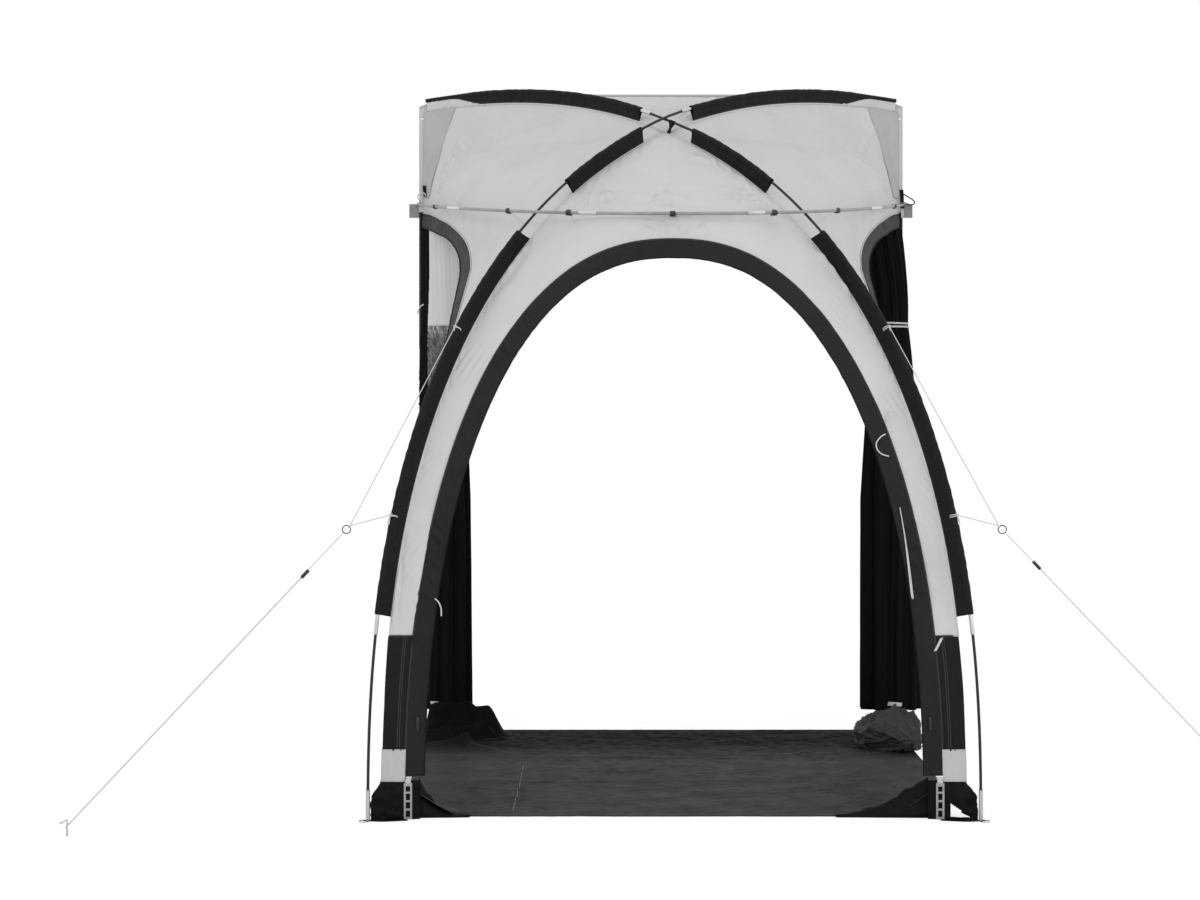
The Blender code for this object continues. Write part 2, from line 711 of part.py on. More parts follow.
def brow_corner(number):
    """The brow pole is bent in straight runs: the place where one meets the next."""
    share = 2 * number / (BROW_POINTS - 1) - 1
    depth = BROW_WALL_GAP + (BROW_REACH - BROW_WALL_GAP) * (1 - abs(share) ** BROW_ROUND_SHARE)
    return Vector((RAIL_HALF * share, RAIL_Y - depth, BROW_WALL_HEIGHT - BROW_FALL_SHARE * depth))


BROW_LINE = np.array([brow_corner(number) for number in range(BROW_POINTS)])


def brow_spot(share):
    """A point of the brow pole, with share -1 at its left end and 1 at its right."""
    return Vector(at(BROW_LINE, (share + 1) / 2))


def door_line():
    """Outer edge of the door's trim in x and z, from bottom left over the top to bottom right."""
    turn = np.linspace(0.0, math.pi, ARCH_POINTS)
    power = 2.0 / DOOR_ROUND_SHARE
    x = -DOOR_HALF * np.sign(np.cos(turn)) * np.abs(np.cos(turn)) ** power
    return np.stack([x, DOOR_HEIGHT * np.abs(np.sin(turn)) ** power], axis=1)


def side_line():
    """Outer edge of a side opening's trim as distance from the wall and height, from the wall forwards."""
    return smooth_line([(depth * REACH, height * POLE_HEIGHT) for depth, height in SIDE_ARCH_SHARES], ARCH_POINTS)


def share_at_height(line, height, first_half):
    """How far along an arch one of its legs reaches a height."""
    shares = np.linspace(0.0, 1.0, len(line))
    top = int(np.argmax(line[:, 1]))
    if first_half:
        return float(np.interp(height, line[: top + 1, 1], shares[: top + 1]))
    return float(np.interp(-height, -line[top:, 1], shares[top:]))


def even_shares(line, first, last, count):
    """Shares of the arch between two of them, evenly spaced along it."""
    length = np.concatenate([[0.0], np.cumsum(np.linalg.norm(np.diff(line, axis=0), axis=1))])
    shares = np.linspace(0.0, 1.0, len(line))
    ends = np.interp([first, last], shares, length)
    return [float(np.interp(place, length, shares)) for place in np.linspace(*ends, count)]


LEG_HEIGHTS = (HEM_CLEARANCE, FLAP_TOP / 2, FLAP_TOP, PATCH_TOP, (PATCH_TOP + BAND_TOP) / 2, BAND_TOP)
DOOR_EDGE = door_line()
SIDE_EDGE = side_line()
DOOR_TOP_SHARES = even_shares(
    DOOR_EDGE, share_at_height(DOOR_EDGE, BAND_TOP, True), share_at_height(DOOR_EDGE, BAND_TOP, False),
    DOOR_COLUMNS,
)
DOOR_LOW_SHARES = [
    share_at_height(DOOR_EDGE, height, True) for height in (DOOR_TRIM_FOOT, *LEG_HEIGHTS[3:5])
]
SIDE_TOP_SHARES = even_shares(SIDE_EDGE, 0.0, share_at_height(SIDE_EDGE, BAND_TOP, False), SIDE_COLUMNS)
SIDE_LOW_SHARES = [
    share_at_height(SIDE_EDGE, height, False) for height in (*LEG_HEIGHTS[4:2:-1], SIDE_TRIM_FOOT)
]


def strip(inner, outer, place, setback=0.0):
    """A sheet between two lists of flat points, put in space by place(a, b)."""
    def surface(u, v):
        number = round(u * (len(inner) - 1))
        start, end = np.array(inner[number]), np.array(outer[number])
        size = np.linalg.norm(end - start)
        return place(*(start + (end - start) * v * (1 - setback / size)))

    return surface


def build_front():
    inner = [at(beside(DOOR_EDGE, -GAP), share) for share in DOOR_TOP_SHARES]
    heights = np.linspace(BAND_TOP, CROSS_HEIGHT - CLOTH, SEAM_POINTS)
    half = even([(-seam_edge(height)[0], height) for height in heights], len(inner) // 2 + 1)
    outer = np.vstack([half, half[-2::-1] * [-1, 1]])
    panel("front_panel", strip(inner, outer, front_spot, SEAM_SETBACK), len(inner) - 1, PANEL_ROWS, GREY_CLOTH)


def build_door_trim():
    shares = DOOR_LOW_SHARES + DOOR_TOP_SHARES + [1 - share for share in reversed(DOOR_LOW_SHARES)]
    outer = [at(DOOR_EDGE, share) for share in shares]
    inner = [at(beside(DOOR_EDGE, DOOR_TRIM), share) for share in shares]
    inner[0][1] = inner[-1][1] = DOOR_TRIM_FOOT
    panel("door_trim", strip(inner, outer, front_spot), len(shares) - 1, 1, DARK_CLOTH)


def build_side(side):
    arch = [at(beside(SIDE_EDGE, -GAP), share) for share in SIDE_TOP_SHARES]
    arch[0][0] = CLOTH_REAR
    runs = np.linspace(
        RUN * (1 - CLOTH_REAR / REACH), float(np.interp(BAND_TOP, SEAM_LINE[1], SEAM_LINE[0])), SEAM_POINTS
    )
    seam = even(
        [(REACH * (1 - run / RUN), float(np.interp(run, SEAM_LINE[0], SEAM_LINE[1]))) for run in runs], len(arch)
    )

    def place(depth, height):
        return side_spot(depth, height, side)

    panel(
        f"{SIDE_NAMES[side]}_side_panel", strip(arch, seam, place, SEAM_SETBACK), len(arch) - 1, PANEL_ROWS,
        GREY_CLOTH,
    )


def build_side_trim(side):
    shares = SIDE_TOP_SHARES + SIDE_LOW_SHARES
    outer = [at(SIDE_EDGE, share) for share in shares]
    inner = [at(beside(SIDE_EDGE, SIDE_TRIM), share) for share in shares]
    outer[0][0] = inner[0][0] = CLOTH_REAR
    inner[-1][1] = SIDE_TRIM_FOOT

    def place(depth, height):
        return side_spot(depth, height, side)

    panel(f"{SIDE_NAMES[side]}_side_trim", strip(inner, outer, place), len(shares) - 1, 1, DARK_CLOTH)


def side_depth(height):
    """Distance from the wall of the side opening's outer edge at a height."""
    return at(SIDE_EDGE, share_at_height(SIDE_EDGE, height, False))[0]


def door_edge_x(height):
    return -at(DOOR_EDGE, share_at_height(DOOR_EDGE, height, True))[0]


def build_leg_panel(side):
    """The black band, grey patch and black flap round one front corner, sewn as one panel."""
    heights = [*LEG_HEIGHTS[:-1], BAND_TOP - GAP]
    pole = spot(0.0, 0.0, side)
    rows = []
    for height in heights:
        low = max(0.0, 1.0 - height / FLAP_TOP)
        edge_x, edge_y = seam_edge(height)
        seam = Vector((side * edge_x, RAIL_Y - edge_y, height))
        corner = Vector((
            pole.x - side * FLAP_CORNER_INSET, pole.y + FLAP_CORNER_INSET, height,
        ))
        corner = seam.lerp(corner, low)
        door_x = door_edge_x(max(height, DOOR_TRIM_FOOT)) + 2 * GAP
        inner = front_spot(side * (FLAP_INNER if height < FLAP_TOP else door_x), height)
        rear = side_spot(side_depth(height) + WIDE_GAP, height, side)
        rows.append([inner, inner.lerp(corner, 0.5), corner, corner.lerp(rear, 0.5), rear])

    def surface(u, v):
        row = rows[round(v * (len(rows) - 1))]
        return row[round(u * (len(row) - 1))]

    panel(f"{SIDE_NAMES[side]}_leg_panel", surface, len(rows[0]) - 1, len(heights) - 1, BLACK_CLOTH)


def build_roof():
    panel("roof_panel", lambda u, v: roof_spot(2 * u - 1, v), ROOF_COLUMNS, ROOF_ROWS, GREY_CLOTH)


def build_hem():
    inner = RAIL_HALF - HEM_SIDE_WIDTH
    points = [
        (-RAIL_HALF, HEM_FOOT), (-inner, HEM_FOOT), (-inner, HEM_TOP - HEM_DEPTH), (inner, HEM_TOP - HEM_DEPTH),
        (inner, HEM_FOOT), (RAIL_HALF, HEM_FOOT), (RAIL_HALF, HEM_TOP), (-RAIL_HALF, HEM_TOP),
    ]
    hem = outline("rail_hem", points, HEM_THICKNESS, GREY_CLOTH)
    hem.matrix_world = Matrix.Translation((0, RAIL_Y - HEM_THICKNESS / 2, 0)) @ Matrix.Rotation(
        math.pi / 2, 4, "X"
    )
    bpy.context.view_layer.update()
    hem = as_mesh(hem)
    bead = cylinder(
        "keder", KEDER_DIAMETER, 2 * RAIL_HALF,
        (0, RAIL_Y - KEDER_DIAMETER / 2, HEM_TOP + KEDER_DIAMETER * KEDER_RISE_SHARE), (1, 0, 0), None, CUTTERS,
        sides=8,
    )
    combine(hem, bead, "UNION")


def build_brow():
    shares = list(np.linspace(-1, 1, BROW_POINTS))
    fat = BROW_SLEEVE_DIAMETER / BROW_DIAMETER
    half = BROW_SLEEVE_LENGTH / 2 / RAIL_HALF
    step = (BROW_SLEEVE_DIAMETER - BROW_DIAMETER) / RAIL_HALF
    stations = [(share, 1.0) for share in shares]
    for middle in BROW_SLEEVE_SHARES:
        for sign in (-1, 1):
            low, high = sign * middle - half, sign * middle + half
            stations = [place for place in stations if not low - 2 * step < place[0] < high + 2 * step]
            stations += [(low - step, 1.0), (low, fat), (high, fat), (high + step, 1.0)]
    stations.sort()
    tube(
        "brow_pole", [brow_spot(share) for share, _ in stations], BROW_DIAMETER, GREY_ROD,
        shares=[size for _, size in stations],
    )


def cloth_tree(names):
    """A search tree over the finished faces of these panels."""
    graph = bpy.context.evaluated_depsgraph_get()
    points, faces = [], []
    for name in names:
        item = bpy.data.objects[name].evaluated_get(graph)
        mesh = item.to_mesh()
        start = len(points)
        mesh.calc_loop_triangles()
        points += [item.matrix_world @ vertex.co for vertex in mesh.vertices]
        faces += [[start + number for number in face.vertices] for face in mesh.loop_triangles]
        item.to_mesh_clear()
    return BVHTree.FromPolygons(points, faces)


def build_clips():
    """Open plastic clips round the brow pole, each on a strap that is sewn to the cloth."""
    tree = cloth_tree([
        "front_panel", "left_side_panel", "right_side_panel", "left_side_trim", "right_side_trim",
    ])
    outer = BROW_DIAMETER + 2 * (CLIP_WALL + CLIP_EASE)
    for number, share in enumerate(CLIP_SHARES):
        middle = brow_spot(share)
        reach = CLIP_WIDTH / 2 / RAIL_HALF
        along = (brow_spot(share + reach) - brow_spot(share - reach)).normalized()
        found, _, _, _ = tree.find_nearest(middle)
        towards = found - middle
        towards = (towards - along * towards.dot(along)).normalized()
        third = along.cross(towards)
        turn = Matrix((along, third, towards)).transposed()
        ends = [
            middle + along * (CLIP_WIDTH / 2 * a) + third * (CLIP_STRAP / 2 * b)
            for a in np.linspace(-1, 1, CLIP_RAYS) for b in (-1, 0, 1)
        ]
        hits = [tree.ray_cast(end, towards) for end in ends]
        reach = min(hit[3] for hit in hits if hit[0] is not None) - WIDE_GAP
        name = f"brow_clip_{number + 1}"
        body = cylinder(name, outer, CLIP_WIDTH, middle, along, BLACK_PLASTIC, sides=12)
        strap_start = BROW_DIAMETER / 2 + CLIP_WALL / 2
        strap = box(
            f"{name}_strap", (CLIP_WIDTH * CLIP_STRAP_SHARE, CLIP_STRAP, reach - strap_start),
            middle + towards * (reach + strap_start) / 2, None, CUTTERS, turn,
        )
        combine(body, strap, "UNION")
        bore = cylinder(
            f"{name}_bore", BROW_DIAMETER + 2 * CLIP_EASE, CLIP_WIDTH + 2 * OVERRUN, middle, along,
            None, CUTTERS, sides=12,
        )
        combine(body, bore, "DIFFERENCE")
        mouth = box(
            f"{name}_mouth", (CLIP_WIDTH + 2 * OVERRUN, outer, CLIP_MOUTH),
            middle + third * outer / 2, None, CUTTERS, turn,
        )
        combine(body, mouth, "DIFFERENCE")
        smooth(body)


def build_wall_plate(side):
    """A plate on the wall with the hook that holds the brow pole's end."""
    name = SIDE_NAMES[side]
    end = brow_spot(side)
    x = side * (RAIL_HALF + GAP + PLATE_WIDTH / 2)
    plate = box(
        f"{name}_wall_plate", (PLATE_WIDTH, PLATE_THICKNESS, PLATE_HEIGHT),
        (x, RAIL_Y - PLATE_THICKNESS / 2, end.z - PLATE_DROP), GREY_PLASTIC,
    )
    root = RAIL_HALF + PLATE_WIDTH * HOOK_ROOT_SHARE
    start = Vector((side * root, RAIL_Y - PLATE_THICKNESS / 2, end.z - PLATE_DROP * HOOK_ROOT_SHARE))
    tip_y = end.y - HOOK_RADIUS * HOOK_TIP_SHARE
    gap = GAP + BROW_DIAMETER / 2 + HOOK_WIRE / 2
    points = [
        start,
        start + Vector((0, -HOOK_REACH, 0)),
        Vector((side * (RAIL_HALF + HOOK_WIRE), end.y - HOOK_RADIUS, end.z + gap)),
        Vector((end.x, tip_y, end.z + gap)),
        Vector((end.x - side * HOOK_RADIUS, tip_y, end.z + gap)),
    ]
    hook = tube(f"{name}_hook_wire", points, HOOK_WIRE, None, CUTTERS)
    combine(plate, as_mesh(hook), "UNION")


def build_crown_tie():
    """Webbing from the crown of the cloth round the bent pole just beyond the crossing."""
    length = length_at_run(0.5) - CROWN_TIE_RUN
    middle = pole_spot(length, RIGHT)
    ahead = pole_spot(length + CROWN_TIE_WIDTH, RIGHT)
    along = (ahead - middle).normalized()
    inwards = (pole_spot(length, RIGHT, inset=fin_depth(length)) - middle).normalized()
    third = along.cross(inwards)
    wrap = POLE_DIAMETER / 2 + GAP + CROWN_WRAP_WALL
    drop = fin_depth(length) + SEAM_LIFT - CLOTH / 2 - WIDE_GAP
    half, waist = CROWN_TIE_WIDTH / 2, CROWN_TIE_WAIST / 2
    middle_drop = (wrap + drop) / 2
    points = [
        (-half, wrap / 2), (half, wrap / 2), (half, wrap), (waist, middle_drop), (half, drop), (-half, drop),
        (-waist, middle_drop), (-half, wrap),
    ]
    tie = outline("crown_tie", points, CROWN_TIE_THICKNESS, BLACK_CLOTH)
    tie.matrix_world = Matrix.Translation(middle) @ Matrix((along, inwards, third)).transposed().to_4x4()
    bpy.context.view_layer.update()
    tie = as_mesh(tie)
    loop = cylinder("crown_tie_loop", 2 * wrap, CROWN_TIE_WIDTH, middle, along, None, CUTTERS, sides=12)
    combine(tie, loop, "UNION")
    bore = cylinder(
        "crown_tie_bore", POLE_DIAMETER + 2 * WIDE_GAP, CROWN_TIE_WIDTH + 2 * OVERRUN, middle, along, None,
        CUTTERS, sides=12,
    )
    combine(tie, bore, "DIFFERENCE")


def build_drape(side):
    """A side panel unzipped and gathered into folds at the rear corner, tied at its waist."""
    edge = beside(SIDE_EDGE, SIDE_TRIM)
    top = float(edge[0][1]) - WIDE_GAP
    heights = [DRAPE_FOOT + (top - DRAPE_FOOT) * row / (DRAPE_ROWS - 1) for row in range(DRAPE_ROWS)]
    half_tie = DRAPE_TIE_WIDTH / 2
    tie = [DRAPE_TIE_HEIGHT - half_tie, DRAPE_TIE_HEIGHT + half_tie]
    heights = [height for height in heights if abs(height - DRAPE_TIE_HEIGHT) > 2 * DRAPE_TIE_WIDTH]
    heights = sorted(heights + [tie[0] - half_tie, tie[0], tie[0], tie[1], tie[1], tie[1] + half_tie])
    rear = RAIL_Y - HEM_THICKNESS - GAP
    shape = bmesh.new()
    rings = []
    seen_tie = 0
    for height in heights:
        on_tie = height in tie
        seen_tie += on_tie
        proud = DRAPE_TIE_PROUD if on_tie and seen_tie in (2, 3) else 0.0
        if height > DRAPE_TIE_HEIGHT:
            part = (height - DRAPE_TIE_HEIGHT) / (top - DRAPE_TIE_HEIGHT)
            middle = RAIL_HALF - DRAPE_INSET + (DRAPE_INSET - DRAPE_TOP_INSET) * part * part
            spread = DRAPE_TIE_WAIST_SHARE + (DRAPE_TOP_SHARE - DRAPE_TIE_WAIST_SHARE) * part
        else:
            part = (DRAPE_TIE_HEIGHT - height) / (DRAPE_TIE_HEIGHT - DRAPE_FOOT)
            middle = RAIL_HALF - DRAPE_INSET
            flare = min(1.0, DRAPE_FLARE_SHARES[0] * part) ** DRAPE_FLARE_SHARES[1]
            spread = DRAPE_TIE_WAIST_SHARE + (1 - DRAPE_TIE_WAIST_SHARE) * flare
        folds = DRAPE_FOLD_SHARE * (DRAPE_TIE_FOLD_SHARE if proud else 1.0)
        ring_points = []
        for number in range(DRAPE_POINTS):
            turn = 2 * math.pi * number / DRAPE_POINTS
            swing = DRAPE_SWING_SHARES[0] * math.sin(DRAPE_SWING_SHARES[1] * part + turn * 2)
            wave = 1 - folds * (1 - math.cos(DRAPE_FOLDS * turn + swing)) / 2
            x = DRAPE_WIDTH / 2 * spread * wave * math.cos(turn)
            y = DRAPE_DEPTH / 2 * spread * wave * math.sin(turn)
            size = math.hypot(x, y)
            x, y = x * (1 + proud / size), y * (1 + proud / size)
            place = Vector((side * middle + x, rear - DRAPE_DEPTH / 2 * spread - proud + y, height))
            if height == heights[-1]:
                place.z = float(np.interp(RAIL_Y - place.y, edge[:, 0], edge[:, 1])) - WIDE_GAP
            ring_points.append(shape.verts.new(place))
        rings.append(ring_points)
    bmesh.ops.contextual_create(shape, geom=rings[0])
    bmesh.ops.contextual_create(shape, geom=rings[-1])
    for first, second in zip(rings, rings[1:]):
        for number in range(DRAPE_POINTS):
            following = (number + 1) % DRAPE_POINTS
            shape.faces.new((first[number], first[following], second[following], second[number]))
    bmesh.ops.recalc_face_normals(shape, faces=shape.faces)
    mesh = bpy.data.meshes.new("drape")
    shape.to_mesh(mesh)
    shape.free()
    smooth(mesh_object(f"{SIDE_NAMES[side]}_drape", mesh, BLACK_CLOTH))


def build_groundsheet():
    """The groundsheet, its front corners drawn up and forwards to the inside of the leg panels."""
    legs = cloth_tree(["left_leg_panel", "right_leg_panel"])
    reaches = []
    for side in (LEFT, RIGHT):
        for rise in (0.0, SHEET_THICKNESS):
            corner = Vector((side * SHEET_FRONT_HALF, RAIL_Y - SHEET_FRONT, SHEET_CORNER_LIFT + rise))
            reaches.append(legs.ray_cast(corner, Vector((0, -1, 0)))[3])
    pull = min(reaches) - 2 * GAP

    def surface(u, v):
        half = SHEET_HALF - (SHEET_HALF - SHEET_FRONT_HALF) * v ** SHEET_TAPER_SHARE
        x = half * (2 * u - 1)
        depth = SHEET_REAR + (SHEET_FRONT - SHEET_REAR) * v
        off = math.hypot(half - abs(x), SHEET_FRONT - depth) / SHEET_CORNER_REACH
        part = max(0.0, 1 - off)
        ease = part * part * (3 - 2 * part)
        return Vector((
            x, RAIL_Y - depth - pull * ease, SHEET_THICKNESS / 2 + SHEET_CORNER_LIFT * ease,
        ))

    panel("groundsheet", surface, SHEET_COLUMNS, SHEET_ROWS, SHEET_CLOTH, SHEET_THICKNESS)


def build_bundle():
    """The door panel, unzipped, rolled up and laid on the groundsheet."""
    shape = bmesh.new()
    bmesh.ops.create_uvsphere(shape, u_segments=20, v_segments=12, radius=0.5)
    turn = Matrix.Rotation(math.radians(BUNDLE_TURN_DEGREES), 4, "Z")
    deep, along_x, along_z, along_y, fine, fine_y, fine_x = BUNDLE_LUMP_SHARES
    for point in shape.verts:
        x, y, z = point.co * 2
        lump = 1 + deep * math.sin(along_x * x + along_z * z) * math.cos(along_y * y)
        lump += fine * math.sin(fine_y * y + fine_x * x)
        flat = BUNDLE_END_SHARE + (1 - BUNDLE_END_SHARE) * (1 - abs(y) ** 3)
        point.co = Vector((
            BUNDLE_WIDTH / 2 * x * lump * flat, BUNDLE_LENGTH / 2 * y, BUNDLE_HEIGHT / 2 * z * lump * flat,
        ))
    bmesh.ops.transform(shape, matrix=turn, verts=shape.verts)
    bmesh.ops.translate(shape, verts=shape.verts, vec=(
        HALF_WIDTH - BUNDLE_INSET, RAIL_Y - BUNDLE_WALL, SHEET_THICKNESS + GAP + BUNDLE_HEIGHT * BUNDLE_SINK_SHARE,
    ))
    floor = SHEET_THICKNESS + GAP
    cut = bmesh.ops.bisect_plane(
        shape, geom=shape.verts[:] + shape.edges[:] + shape.faces[:], plane_co=(0, 0, floor),
        plane_no=(0, 0, -1), clear_outer=True,
    )
    rim = [part for part in cut["geom_cut"] if isinstance(part, bmesh.types.BMEdge)]
    bmesh.ops.edgeloop_fill(shape, edges=rim)
    bmesh.ops.recalc_face_normals(shape, faces=shape.faces)
    mesh = bpy.data.meshes.new("door_bundle")
    shape.to_mesh(mesh)
    shape.free()
    smooth(mesh_object("door_bundle", mesh, DARK_CLOTH), 60)


def build_foot_pin(side):
    """A ring on the ground with the pin that stands in the bent pole's foot."""
    foot = spot(0.0, 0.0, side)
    name = f"{SIDE_NAMES[side]}_foot_pin"
    middle = Vector((foot.x + side * FOOT_RING_RADIUS, foot.y, FOOT_RING_WIRE / 2))
    hoop = ring(name, FOOT_RING_RADIUS, FOOT_RING_WIRE, middle, (0, 0, 1), STEEL)
    pin = cylinder(
        f"{name}_stem", PIN_DIAMETER, PIN_LENGTH - PIN_EASE, (foot.x, foot.y, (PIN_LENGTH - PIN_EASE) / 2),
        (0, 0, 1), None, CUTTERS, sides=8,
    )
    combine(hoop, pin, "UNION")


def build_ladder(side):
    """A rubber pegging ladder hung at the flap, with the head of its peg."""
    name = f"{SIDE_NAMES[side]}_pegging_ladder"
    front = RAIL_Y - flap_depth(LADDER_X + LADDER_WIDTH / 2) - (CLOTH + LADDER_THICKNESS) / 2 - LADDER_GAP
    height = LADDER_TOP - LADDER_FOOT
    middle = Vector((side * LADDER_X, front, LADDER_FOOT + height / 2))
    frame = box(name, (LADDER_WIDTH, LADDER_THICKNESS, height), middle, PALE_RUBBER)
    pitch = (height - LADDER_RAIL) / LADDER_RUNGS
    for number in range(LADDER_RUNGS):
        place = Vector((middle.x, front, LADDER_FOOT + LADDER_RAIL + pitch * (number + 0.5) - LADDER_RAIL / 2))
        window = box(
            f"{name}_window_{number + 1}",
            (LADDER_WIDTH - 2 * LADDER_RAIL, LADDER_THICKNESS + 2 * OVERRUN, pitch - LADDER_RAIL),
            place, None, CUTTERS,
        )
        combine(frame, window, "DIFFERENCE")
    peg = cylinder(
        f"{name}_peg", LADDER_PEG_DIAMETER, LADDER_THICKNESS + LADDER_PEG_PROUD,
        (middle.x, front - LADDER_PEG_PROUD / 2, LADDER_FOOT + LADDER_PEG_DIAMETER / 2),
        (0, 1, 0), None, CUTTERS, sides=8,
    )
    combine(frame, peg, "UNION")
    move_origin(frame, Vector((middle.x, front, LADDER_TOP - LADDER_RAIL / 2)))


def flap_depth(x):
    """Distance from the wall of the flap's hem, between its inner edge and its corner at the pole foot."""
    inner = RAIL_Y - front_spot(FLAP_INNER, 0.0).y
    corner = REACH - FLAP_CORNER_INSET
    part = (x - FLAP_INNER) / (HALF_WIDTH - FLAP_CORNER_INSET - FLAP_INNER)
    return inner + (corner - inner) * part


def move_origin(item, place):
    """Puts a piece's origin on its joint without moving the piece."""
    bpy.context.view_layer.update()
    shift = item.matrix_world.inverted() @ place
    item.data.transform(Matrix.Translation(-shift))
    item.matrix_world = item.matrix_world @ Matrix.Translation(shift)


def build_slider(side):
    """A zip slider with its pull at the edge of the door's trim."""
    name = f"{SIDE_NAMES[side]}_zip_slider"
    x = side * (door_edge_x(SLIDER_HEIGHT) - DOOR_TRIM / 2)
    low = front_spot(x, SLIDER_HEIGHT)
    front = low.y - CLOTH / 2 - GAP
    place = Vector((x, front - SLIDER_THICKNESS / 2, SLIDER_HEIGHT))
    body = box(name, (SLIDER_WIDTH, SLIDER_THICKNESS, SLIDER_LENGTH), place, BLACK_PLASTIC)
    pull = box(
        f"{name}_pull", (SLIDER_PULL_WIDTH, SLIDER_PULL_THICKNESS, SLIDER_PULL_LENGTH),
        (x, front - SLIDER_THICKNESS + SLIDER_PULL_THICKNESS / 2, SLIDER_HEIGHT - SLIDER_PULL_LENGTH / 2),
        None, CUTTERS,
    )
    combine(body, pull, "UNION")


def mirrored(point, side):
    return Vector((side * point[0], RAIL_Y - point[1], point[2]))


def sleeve_side(height, foot):
    """Where a cord meets the outside of the lower sleeve at a height."""
    length = length_at_height(height)
    out = POLE_DIAMETER / 2 + SLEEVE_EASE + SLEEVE_WALL + CORD_DIAMETER / 2 + GAP
    return pole_spot(length, foot, inset=-out)


def build_guy(side):
    name = SIDE_NAMES[side]
    centre = mirrored(GUY_RING, side)
    peg = mirrored(GUY_PEG, side)
    along = (peg - centre).normalized()
    across = Vector((0, 0, 1)).cross(along).normalized()
    normal = along.cross(across)
    hoop = GUY_RING_RADIUS
    ring(f"{name}_guy_ring", hoop, GUY_RING_WIRE, centre, across, BLACK_PLASTIC)
    wire = GUY_RING_WIRE / 2 + CORD_DIAMETER / 2 + 2 * GAP
    upper = sleeve_side(GUY_UPPER_HEIGHT, side)
    lower = sleeve_side(GUY_LOWER_HEIGHT, side)
    turn = []
    inner = centre - along * hoop
    for degrees in RING_TURNS_DEGREES:
        angle = math.radians(degrees)
        turn.append(inner + (across * math.sin(angle) + along * math.cos(angle)) * wire)
    bridle = [upper.lerp(turn[0], part) for part in np.linspace(0, 1, BRIDLE_UPPER_POINTS)]
    bridle += turn[1:-1]
    bridle += [turn[-1].lerp(lower, part) for part in np.linspace(0, 1, BRIDLE_LOWER_POINTS)]
    tube(f"{name}_guy_bridle", bridle, CORD_DIAMETER, WHITE_CORD)
    start = centre + along * (hoop + GUY_RING_WIRE / 2 + GAP)
    far = peg - along * GUY_STRAND / 2
    bend = [
        far + along * GUY_STRAND / 2 * math.sin(math.radians(degrees))
        - across * GUY_STRAND / 2 * math.cos(math.radians(degrees)) + across * GUY_STRAND / 2
        for degrees in PEG_TURNS_DEGREES
    ]
    distance = TENSIONER_DISTANCES[0 if side == LEFT else 1]
    back = centre + along * distance + across * GUY_STRAND
    line = [start.lerp(far, part) for part in np.linspace(0, 1, GUY_POINTS)][:-1]
    line += bend
    line += [(far + across * GUY_STRAND).lerp(back, part) for part in np.linspace(0, 1, GUY_POINTS)][1:]
    tube(f"{name}_guy_line", line, CORD_DIAMETER, WHITE_CORD)
    middle = centre + along * distance + across * GUY_STRAND / 2
    frame = Matrix((across, normal, along)).transposed()
    tensioner = box(
        f"{name}_tensioner", (TENSIONER_WIDTH, TENSIONER_THICKNESS, TENSIONER_LENGTH), middle, BLACK_PLASTIC,
        turn=frame,
    )
    for number, offset in enumerate((-GUY_STRAND / 2, GUY_STRAND / 2)):
        bore = cylinder(
            f"{name}_tensioner_bore_{number + 1}", TENSIONER_BORE, TENSIONER_LENGTH + 2 * OVERRUN,
            middle + across * offset, along, None, CUTTERS, sides=8,
        )
        combine(tensioner, bore, "DIFFERENCE")
    hold = far + across * GUY_STRAND / 2 + along * PEG_SEAT
    hold.z = 0.0
    tube(
        f"{name}_ground_peg",
        [hold, hold + Vector((0, 0, PEG_HEIGHT)), hold + Vector((side * PEG_HOOK, 0, PEG_HEIGHT - PEG_HOOK / 2))],
        PEG_DIAMETER, STEEL,
    )


def build_awning():
    for foot in (LEFT, RIGHT):
        build_pole(foot)
        build_sleeves(foot)
    build_front()
    build_door_trim()
    build_roof()
    build_hem()
    build_brow()
    build_crown_tie()
    build_bundle()
    for side in (LEFT, RIGHT):
        build_side(side)
        build_side_trim(side)
        build_leg_panel(side)
        build_wall_plate(side)
        build_drape(side)
        build_foot_pin(side)
        build_ladder(side)
        build_slider(side)
        build_guy(side)
    bpy.context.view_layer.update()
    build_groundsheet()
    build_clips()


build_awning()
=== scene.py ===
import math

import bmesh
import bpy
import numpy as np
from mathutils import Matrix, Vector
from mathutils.bvhtree import BVHTree


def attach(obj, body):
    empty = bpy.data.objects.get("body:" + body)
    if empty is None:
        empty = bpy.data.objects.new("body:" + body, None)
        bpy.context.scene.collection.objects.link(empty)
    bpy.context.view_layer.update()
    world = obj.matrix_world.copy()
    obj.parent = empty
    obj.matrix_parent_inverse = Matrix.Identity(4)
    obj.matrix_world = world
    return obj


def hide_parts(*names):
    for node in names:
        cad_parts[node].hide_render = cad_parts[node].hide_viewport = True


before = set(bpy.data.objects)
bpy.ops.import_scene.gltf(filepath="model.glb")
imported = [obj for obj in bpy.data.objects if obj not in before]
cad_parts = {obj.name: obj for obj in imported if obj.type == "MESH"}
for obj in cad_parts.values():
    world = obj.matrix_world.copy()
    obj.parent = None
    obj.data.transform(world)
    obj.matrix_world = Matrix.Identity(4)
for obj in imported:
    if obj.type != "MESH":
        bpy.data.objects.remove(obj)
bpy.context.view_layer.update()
scene = bpy.context.scene
scene.view_settings.view_transform = "Standard"
print("frame loaded,", len(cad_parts), "solids")

# camera, where the photograph was taken from
photo = {
    "lens": 55.65, "sensor": 36, "place": (-0.192, -6.75, 1.31), "shiftX": -14 / 1200, "shiftY": -40 / 1200,
}

